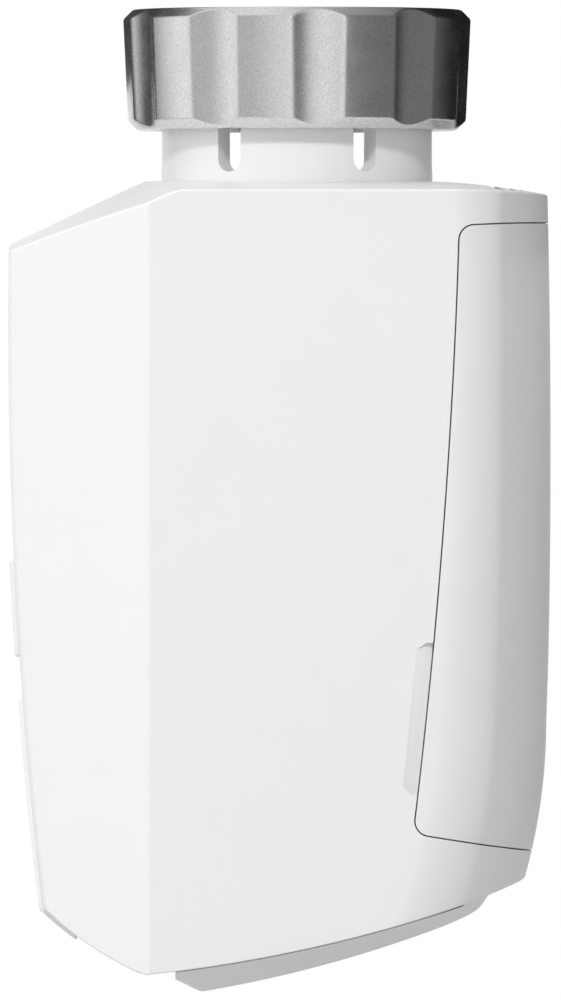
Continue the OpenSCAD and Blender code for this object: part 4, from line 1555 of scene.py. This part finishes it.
@dataclass
class EndCap:
    """The crowned plate on the lower end, with bevelled sides and fine grooves."""

    front: float = -12.6
    back: float = 20.7
    half: float = 23.0
    face: Arc = (-31.552, 35.05, 131.0)
    front_bevel: float = 27.0
    back_bevel: float = 35.0
    side_bevel: float = 33.0
    front_step: float = 0.9
    back_step: float = 0.4
    # Widths over which the faces run into each other
    front_blend: float = 0.25
    side_blend: float = 0.12
    face_blend: float = 0.2
    edge_blend: float = 0.6
    # The back edge: its radius in plan, and its distance from the wall at a height
    bow_r: float = 115.0
    wall_z: float = -84.0
    margin: float = 0.8
    # The seam along the sides: height, width and the width of its slope
    seam: tuple[float, float, float] = (0.14, 0.9, 0.1)
    # Grooves: how many on each side of the middle one, half width, depth and slope
    grooves: int = 3
    pitch: float = 4.4
    groove: tuple[float, float, float] = (0.22, 0.34, 0.08)
    # The grid: its steps, closer steps at the back, and zones of closer steps
    steps: int = 24
    back_steps: int = 71
    front_zone: float = 4.0
    back_zone: float = 5.6
    side_zone: float = 5.5
    groove_lines: tuple[float, ...] = (-1.3, -0.7, 0.7, 1.3)
    sharp: float = 20.0

    def end_z(self, x: float | Array) -> Array:
        """Gives Z of the head's lower end."""
        ex, ez, er = FORM.end
        return ez - np.sqrt(er**2 - (x - ex) ** 2)

    def back_edge(self, y: Array) -> Array:
        """Gives X of the back edge: a wide arc in plan, kept a margin inside the head's wall.

        Args:
            y: Places across the plate.

        Returns:
            X at each place.
        """
        arc = self.back - self.bow_r + np.sqrt(self.bow_r**2 - y**2)
        start = np.stack(np.broadcast_arrays(0.0, y, self.wall_z), axis=-1)
        wall = crossing(lambda q: FORM.wall_field(q) + self.margin, start, TO_BACK, THROUGH)
        return -soft_max(-arc, -wall[..., 0], self.edge_blend)

    def depth(self, x: Array, y: Array) -> Array:
        """Gives how far the plate stands below the end.

        It is the least of the crowned face, the front and back chamfers and the
        two side bevels, with soft edges, less the grooves.

        Args:
            x: Places along the plate.
            y: Places across it.

        Returns:
            The depth at each place.
        """
        slopes = (self.front_bevel, self.back_bevel, self.side_bevel)
        front_tan, back_tan, side_tan = (math.tan(math.radians(angle)) for angle in slopes)
        cx, cz, r = self.face
        ground = self.end_z(x)
        crowned = ground - cz + np.sqrt(r**2 - (x - cx) ** 2)
        front = ground - self.end_z(self.front) + self.front_step + (x - self.front) * front_tan
        wide, cut, slope = self.groove
        nearest = np.clip(np.round(y / self.pitch), -self.grooves, self.grooves)
        off = np.abs(y - self.pitch * nearest)
        behind = self.back_edge(y) - x - cut * np.clip((wide - off) / slope + 0.5, 0, 1)
        back = ground - self.end_z(self.back) - self.back_step + behind / back_tan
        side = self.seam[0] + (self.half - np.abs(y)) * side_tan
        along = soft_max(-crowned, -front, self.front_blend)
        across = soft_max(-back, -side, self.side_blend)
        return np.maximum(-soft_max(along, across, self.face_blend), self.relief(y))

    def relief(self, y: Array) -> Array:
        """Gives the height of the fine seam between the plate's long edges and the end."""
        high, wide, slope = self.seam
        return high * np.clip((wide - self.half + np.abs(y)) / slope, 0, 1)

    def build(self) -> None:
        """Lays the plate's face on a grid, closer at edges and grooves, and closes it."""
        t = np.linspace(0, 1, self.steps)
        back_t = np.linspace(0, 1, self.back_steps)
        long, zone = self.back - self.front, self.side_zone
        x = [self.front + long * t, self.back - self.back_zone * back_t]
        x = np.concatenate([*x, self.front + self.front_zone * t])
        lines = self.groove[0] * np.array(self.groove_lines)
        middles = self.pitch * np.arange(-self.grooves, self.grooves + 1)[:, None]
        y = [self.half * (2 * t - 1), self.half - zone * t, zone * t - self.half]
        y = np.concatenate([*y, (middles + lines).ravel()])
        xs, ys = np.meshgrid(np.unique(x.round(2)), np.unique(y.round(2)), indexing="ij")
        xs = self.front + (xs - self.front) * (self.back_edge(ys) - self.front) / long
        ground = self.end_z(xs)
        lower = np.stack([xs, ys, ground - self.depth(xs, ys)], axis=-1)
        upper = np.stack([xs, ys, ground - self.relief(ys)], axis=-1)
        rims = [
            np.concatenate([face[0], face[1:, -1], face[-1, -2::-1], face[-2:0:-1, 0]])
            for face in (lower, upper)
        ]
        plate = join([grid(lower), grid(upper), grid(np.stack(rims), closed_columns=True)])
        cap = make_object("end_cap_plate", plate)
        shade(cap, self.sharp)
        place(cap, WHITE, "body", ["end_cap"])


@dataclass
class UnionNut:
    """The fluted metal nut with its inner thread."""

    low: float = -4.6
    high: float = 8.0
    top_r: float = 18.15
    draft: float = 0.5
    chamfer: float = 1.0
    edge: float = 0.22
    # The lip's radius and height, and the groove above it with its slope to the thread
    lip: Pair = (14.45, 1.0)
    groove_r: float = 15.5
    groove_slope: float = 0.1
    # The thread: start, end, inner and outer radius, and the length over which it fades
    thread: tuple[float, float, float, float] = (0.0, 7.2, 14.19, 15.0)
    pitch: float = 1.5
    fade: float = 0.5
    # Flutes: distance of the hollow's centre, its radius and the first one's angle
    flutes: int = 10
    flute: tuple[float, float, float] = (24.18, 7.0, -83.0)
    outside: float = 40.0
    columns: int = 720
    thread_rows: int = 52
    face_rows: int = 10
    long_edge: float = 0.5
    sharp: float = 24.0

    def flute_r(self, angle: Array, z: Array) -> Array:
        """Gives where a ray from the axis meets the nearest flute's hollow.

        With the flute's centre at distance d and the ray off it by an angle a,
        that is d cos a less the root of (r squared less the square of d sin a).

        Args:
            angle: Ray angles in radians.
            z: Heights.

        Returns:
            The radius, or one far outside the nut where the ray misses.
        """
        d, r, first = self.flute
        d = d + (z - (self.low + self.high) / 2) * self.draft / (self.high - self.low)
        step = 2 * np.pi / self.flutes
        off = (angle - math.radians(first) + step / 2) % step - step / 2
        under = r**2 - (d * np.sin(off)) ** 2
        hollow = d * np.cos(off) - np.sqrt(np.maximum(under, 0))
        return np.where(under > 0, hollow, self.outside)

    def outer(self) -> Array:
        """Gives the section's outside as (r, z) points, with rows along its longer edges.

        Returns:
            Array of n by 2, from the bore's upper rim over the outside to the lip.
        """
        low_r, c = self.top_r - self.draft, self.chamfer
        _, end, minor, _ = self.thread
        corners = [
            [minor + self.high - end, self.high],
            [self.top_r - c, self.high],
            [self.top_r, self.high - c],
            [low_r, self.low + c],
            [low_r - c, self.low],
            [self.lip[0], self.low],
        ]
        # The inside goes on from the middle of the first and of the last corner's curve
        soft = softened(np.array(corners), self.edge)[2:-2]
        long = np.linalg.norm(np.diff(soft, axis=0), axis=1) > self.long_edge
        t = np.linspace(0, 1, self.face_rows)[:-1, None]
        rows = [
            soft[i] * (1 - t) + soft[i + 1] * t if is_long else soft[i : i + 1]
            for i, is_long in enumerate(long)
        ]
        return np.vstack([*rows, soft[-1:]])

    def inner(self) -> tuple[Array, Array]:
        """Gives the section's inside as (r, z) points: lip and groove, then the thread's rows.

        Returns:
            The points of lip and groove, and those of the thread.
        """
        start, end, minor, _ = self.thread
        lip_r, lip_z = self.lip[0], self.low + self.lip[1]
        groove_top = start - self.groove_slope
        hollow = [[lip_r, lip_z], [self.groove_r, lip_z], [self.groove_r, groove_top]]
        z = np.linspace(start, end, self.thread_rows)
        return np.array(hollow), np.column_stack([np.full_like(z, minor), z])

    def build(self) -> None:
        """Turns the section, with flutes pressed in from outside and the thread from inside."""
        start, end, minor, major = self.thread
        outer, (hollow, bore) = self.outer(), self.inner()
        angle = full_turn(self.columns)[None, :]
        r, z = outer[:, :1], outer[:, 1:]
        fluted = -soft_max(-(r + 0 * angle), -self.flute_r(angle, z), self.edge)
        plain = hollow[:, :1] + 0 * angle
        high = bore[:, 1:]
        turns = (high / self.pitch - angle / (2 * np.pi)) % 1.0
        fades = [np.clip(span / self.fade, 0, 1) for span in (high - start, end - high)]
        # Full depth in the middle fifth of a turn, and none at its ends
        cut = np.clip(1.25 - 2.5 * np.abs(turns - 0.5), 0, 1) * fades[0] * fades[1]
        radius = np.vstack([fluted, plain, minor + (major - minor) * cut])
        points = around(radius, angle, np.vstack([outer, hollow, bore])[:, 1:])
        nut = make_object("union_nut_shell", grid(points, closed_rows=True, closed_columns=True))
        shade(nut, self.sharp)
        place(nut, NUT_METAL, "nut", ["union_nut"])


@dataclass
class ValveCollar:
    """The white neck with six snap fingers and a flange inside the housing."""

    socket: float = 11.8
    neck: float = 14.15
    seat: float = -0.3
    tip: float = 13.5
    tip_draft: float = 0.3
    # Barb and flange: radius, upper and lower height, and the barb's slope
    barb: tuple[float, float, float] = (14.95, -1.1, -2.6)
    barb_slope: float = 0.5
    flange: tuple[float, float, float] = (17.5, -11.9, -13.4)
    low: float = -18.4
    edge: float = 0.2
    edge_steps: int = 3
    columns: int = 180
    # Slots: width, lower end, and the tool's top and radii
    slots: int = 6
    slot: float = 2.7
    slot_low: float = -9.07
    slot_top: float = 3.0
    slot_r: Pair = (8.0, 20.0)
    slot_steps: int = 15
    sharp: float = 28.0

    def section(self) -> Array:
        """Gives the neck's section as (r, z) points.

        Returns:
            Array of n by 2, in order round it.
        """
        barb_r, barb_top, barb_low = self.barb
        flange_r, flange_top, flange_low = self.flange
        corners = [
            [self.socket, self.seat],
            [self.tip - self.tip_draft, self.seat],
            [self.tip, barb_top],
            [barb_r, barb_top - self.barb_slope],
            [barb_r, barb_low],
            [self.neck, barb_low],
            [self.neck, flange_top],
            [flange_r, flange_top],
            [flange_r, flange_low],
            [self.neck, flange_low],
            [self.neck, self.low],
            [self.socket, self.low],
        ]
        return softened(np.array(corners), self.edge, self.edge_steps)

    def slot_tool(self) -> Surface:
        """Gives the tool for the slots: upright strips with round lower ends, round the axis.

        Returns:
            All the strips.
        """
        a = np.linspace(np.pi, 2 * np.pi, self.slot_steps)
        r = self.slot / 2
        low = np.column_stack([r * np.cos(a), self.slot_low + r + r * np.sin(a)])
        strip = prism(np.vstack([low, [[r, self.slot_top], [-r, self.slot_top]]]), *self.slot_r)
        turns = [360.0 * i / self.slots - 90 for i in range(self.slots)]
        return join([Surface(turned(strip.points, turn, 2), strip.faces) for turn in turns])

    def build(self) -> None:
        """Turns the neck's section and cuts the slots through it."""
        collar = make_object("valve_collar_neck", lathe(self.section(), self.columns))
        work_on(collar, self.slot_tool(), Cut.AWAY)
        shade(collar, self.sharp)
        place(collar, NECK_WHITE, "body", ["valve_collar"])


@dataclass
class InnerWorks:
    """The solids inside, which keep their shapes and get finishes."""

    groups: tuple[tuple[Finish, tuple[str, ...]], ...] = (
        (NATURAL, ("plunger", "output_gear", "compound_gear_b", "compound_gear_a")),
        (STEEL, ("plunger_tip", "motor_can", "axle_pins", "thrust_washer")),
        (STEEL, ("collar_screws", "flange_screws", "post_screws", "board_screws")),
        (GREY, ("gearbox_lid", "gearbox_base", "battery_tray")),
        (BRASS, ("motor_pinion",)),
        (BOARD, ("main_board",)),
        (BLACK, ("tact_switches", "controller_chip", "temperature_sensor")),
        (CONTACT, ("radio_module", "contact_plates", "coil_contacts")),
        (DISPLAY, ("lcd_panel",)),
        (GUIDE, ("lcd_holder",)),
        (CELL, ("cell_upper", "cell_lower")),
    )

    def build(self) -> None:
        """Gives each solid its finish, and the outer ones white plastic."""
        finishes = {node: finish for finish, nodes in self.groups for node in nodes}
        for name, obj in sorted(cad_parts.items()):
            finish = finishes.get(name, WHITE)
            obj.data.materials.clear()
            obj.data.materials.append(finish.material())
            log.info("%s: %s", name, finish.name)


# The studio

# Tones that the nut reflects: round it by angle about its axis, and over it by X
ROUND_NUT: Stops = (
    (-125, 0.04), (-98, 0.1), (-84, 0.7), (-70, 1.0), (-56, 0.85), (-41, 0.52),
    (-25, 0.52), (-8, 0.82), (7, 0.9), (18, 0.75), (27, 0.22), (49, 0.16),
    (78, 0.17), (94, 0.06), (108, 0.01), (138, 0.01),
)
OVER_NUT: Stops = (
    (-46, 0.3), (-41, 0.45), (-33, 0.86), (-4, 0.86), (3, 0.62), (13, 0.48),
    (18, 0.38), (29, 0.31), (46, 0.25),
)


def look_at(obj: Object, aim: Vector) -> None:
    """Turns a lamp or camera to a point and adds it to the scene."""
    obj.rotation_euler = (aim - obj.location).to_track_quat("-Z", "Y").to_euler()
    bpy.context.scene.collection.objects.link(obj)


@dataclass
class Studio:
    """The floor, the lamps, the white surround, the cards and the camera."""

    # The floor: height, radius, innermost share of it, rows and columns, and its pale tones
    floor_z: float = -125.0
    floor_r: float = 6000.0
    floor_hub: float = 0.001
    floor_steps: tuple[int, int] = (25, 64)
    floor_pale: Pair = (0.63, 0.65)
    floor_patch: float = 40.0
    # Distances in metres between which the floor turns to plain white
    floor_fade: Pair = (0.25, 0.7)
    ambient: float = 0.4
    # The camera: lens, sensor, nearest and farthest distance in metres, the depth at which
    # the scale is true, the view's height there and its middle
    lens: float = 800.0
    sensor: float = 36.0
    clip: Pair = (0.1, 100.0)
    sharp_y: float = -7.0
    tall: float = 104.17
    centre: Pair = (-1.72, -43.2)
    # The height that the lamps look at, and their names, turns, lifts, distances and sides
    # in metres, and powers
    aim_z: float = -45.0
    lamps: tuple[tuple[str, float, float, float, float, float], ...] = (
        ("front_lamp", -6, 33, 1.3, 0.15, 6.7),
        ("left_lamp", -64, 12, 1.3, 0.9, 4.5),
        ("right_lamp", 80, 10, 1.3, 0.9, 1.4),
        ("top_lamp", -75, 68, 1.2, 0.9, 5.0),
    )
    # Bent cards: name, radius, lower and upper edge, and tones by angle
    rings: tuple[tuple[str, float, float, float, Stops], ...] = (
        ("nut_card", 46.0, -16.0, 60.0, ROUND_NUT),
        ("left_card", 46.0, 0.0, 60.0, ((-165, 0.05), (-125, 0.04))),
        ("back_card", 46.0, 2.0, 60.0, ((138, 0.01), (168, 0.03))),
        ("right_card", 500.0, -300.0, 0.0, ((38, 0.5), (60, 0.16), (165, 0.12))),
    )
    ring_steps: tuple[int, int] = (6, 61)
    # The flat card over the nut: half its side and its height
    roof_half: float = 46.0
    roof_z: float = 60.0
    roof_steps: tuple[int, int] = (7, 31)

    def floor(self) -> None:
        """Lays a round pale floor that turns to plain white far from the object."""
        rows, columns = self.floor_steps
        r = np.linspace(self.floor_hub, 1, rows)[:, None] ** 2 * self.floor_r
        points = around(r, full_turn(columns), self.floor_z)
        floor = make_object("floor", grid(points, closed_columns=True))
        g = paint("pale_floor")
        away = g.add("ShaderNodeVectorMath", {0: g.place()}, operation="LENGTH").outputs["Value"]
        near, far = self.floor_fade
        inputs = {"Value": away, "From Min": near, "From Max": far}
        fade = g.add("ShaderNodeMapRange", inputs, interpolation_type="SMOOTHSTEP")
        shown = g.maths("MULTIPLY", fade.outputs["Result"], g.backdrop())
        stops = [(at, (tone,) * 3) for at, tone in zip((0.3, 0.7), self.floor_pale)]
        matt = g.add("ShaderNodeBsdfDiffuse", {"Color": g.tint(g.noise(self.floor_patch), stops)})
        white = g.add("ShaderNodeEmission", {"Color": (1, 1, 1, 1), "Strength": 1.0})
        shaders = {0: shown, 1: matt.outputs[0], 2: white.outputs[0]}
        floor.data.materials.append(g.end(g.add("ShaderNodeMixShader", shaders)))

    def surround(self) -> None:
        """Makes the world white to the eye and in reflections, and a soft light elsewhere."""
        g = Graph(bpy.data.worlds.new("studio"))
        inputs = {"Value": g.backdrop(), "To Min": self.ambient}
        level = g.add("ShaderNodeMapRange", inputs).outputs["Result"]
        white = g.add("ShaderNodeBackground", {"Color": (1, 1, 1, 1), "Strength": level})
        bpy.context.scene.world = g.end(white, "ShaderNodeOutputWorld")

    def lamp(
        self, name: str, turn: float, lift: float, away: float, size: float, power: float
    ) -> None:
        """Adds a square soft lamp that looks at the object.

        Args:
            name: The lamp's name.
            turn: Its place round the object, 0 at the viewer and positive to the right.
            lift: Its height as an angle.
            away: Its distance in metres.
            size: Its side in metres.
            power: Its power in watts.
        """
        data = bpy.data.lights.new(name, "AREA")
        data.shape, data.size, data.energy = "SQUARE", size, power
        obj = bpy.data.objects.new(name, data)
        aim = Vector((0, 0, self.aim_z * MM))
        t, h = math.radians(turn), math.radians(lift)
        way = Vector((math.sin(t) * math.cos(h), -math.cos(t) * math.cos(h), math.sin(h)))
        obj.location = aim + away * way
        obj.visible_glossy = False
        look_at(obj, aim)

    def card(self, name: str, points: Array, stops: Stops, across: bool = False) -> None:
        """Stands a card by the object, which shows only in reflections.

        Args:
            name: The card's name.
            points: Its grid of points.
            stops: Places on the card, each with its brightness. A place is the angle
                about the nut's axis, 0 at the viewer and positive to the right.
            across: Takes the place as X instead.
        """
        card = make_object(name, grid(points))
        g = paint(name)
        axes = g.axes()
        at, scale = axes["X"], 1 / MM / 360
        if not across:
            at = g.maths("ARCTAN2", at, g.maths("MULTIPLY", axes["Y"], -1.0))
            scale = 0.5 / math.pi
        marks = [(0.5 + spot / 360, (tone,) * 3) for spot, tone in stops]
        tones = g.tint(g.maths("MULTIPLY_ADD", at, scale, 0.5), marks)
        glow = g.add("ShaderNodeEmission", {"Color": tones, "Strength": 1.0})
        card.data.materials.append(g.end(glow))
        card.visible_camera = card.visible_diffuse = False
        card.visible_shadow = card.visible_transmission = False

    def ring(self, name: str, radius: float, low: float, high: float, stops: Stops) -> None:
        """Stands a card bent round the nut's axis from the first of its stops to the last.

        Args:
            name: The card's name.
            radius: Its distance from the nut's axis.
            low: Its lower edge.
            high: Its upper edge.
            stops: Angles, each with the card's brightness there.
        """
        rows, columns = self.ring_steps
        a = np.radians(np.linspace(stops[0][0], stops[-1][0], columns))
        z = np.linspace(low, high, rows)[:, None]
        parts = np.broadcast_arrays(radius * np.sin(a), -radius * np.cos(a), z)
        self.card(name, np.stack(parts, axis=-1), stops)

    def cards_up(self) -> None:
        """Stands the cards: round the nut, behind both its edges, far off right, and over it."""
        for ring in self.rings:
            self.ring(*ring)
        rows, columns = self.roof_steps
        x = np.linspace(-self.roof_half, self.roof_half, columns)
        y = np.linspace(-self.roof_half, self.roof_half, rows)[:, None]
        points = np.stack(np.broadcast_arrays(x, y, self.roof_z), axis=-1)
        self.card("roof_card", points, OVER_NUT, across=True)

    def camera(self) -> None:
        """Stands a level camera with a long lens, with the photograph's scale at one depth."""
        data = bpy.data.cameras.new("camera")
        data.lens, data.sensor_width, data.sensor_fit = self.lens, self.sensor, "AUTO"
        data.clip_start, data.clip_end = self.clip
        obj = bpy.data.objects.new("camera", data)
        x, z = self.centre
        away = self.lens * self.tall / self.sensor
        obj.location = Vector((x, self.sharp_y - away, z)) * MM
        look_at(obj, Vector((x, 0, z)) * MM)
        bpy.context.scene.camera = obj

    def build(self) -> None:
        """Sets up the whole studio."""
        bpy.context.scene.view_settings.view_transform = "Standard"
        self.camera()
        self.surround()
        self.floor()
        for lamp in self.lamps:
            self.lamp(*lamp)
        self.cards_up()


def save_sizes() -> None:
    """Updates the scene's view layer.
    """
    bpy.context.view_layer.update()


def main() -> None:
    """Builds the studio and the pieces in order."""
    logging.basicConfig(level=logging.INFO, format="%(name)s %(message)s")
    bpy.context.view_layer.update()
    shells = (Housing(), BatteryCover(), LENS_PIECE, KEYS, EndCap())
    for part in (Studio(), InnerWorks(), *shells, ValveCollar(), UnionNut()):
        part.build()
        log.info("%s done", type(part).__name__)
    save_sizes()


if __name__ == "__main__":
    main()
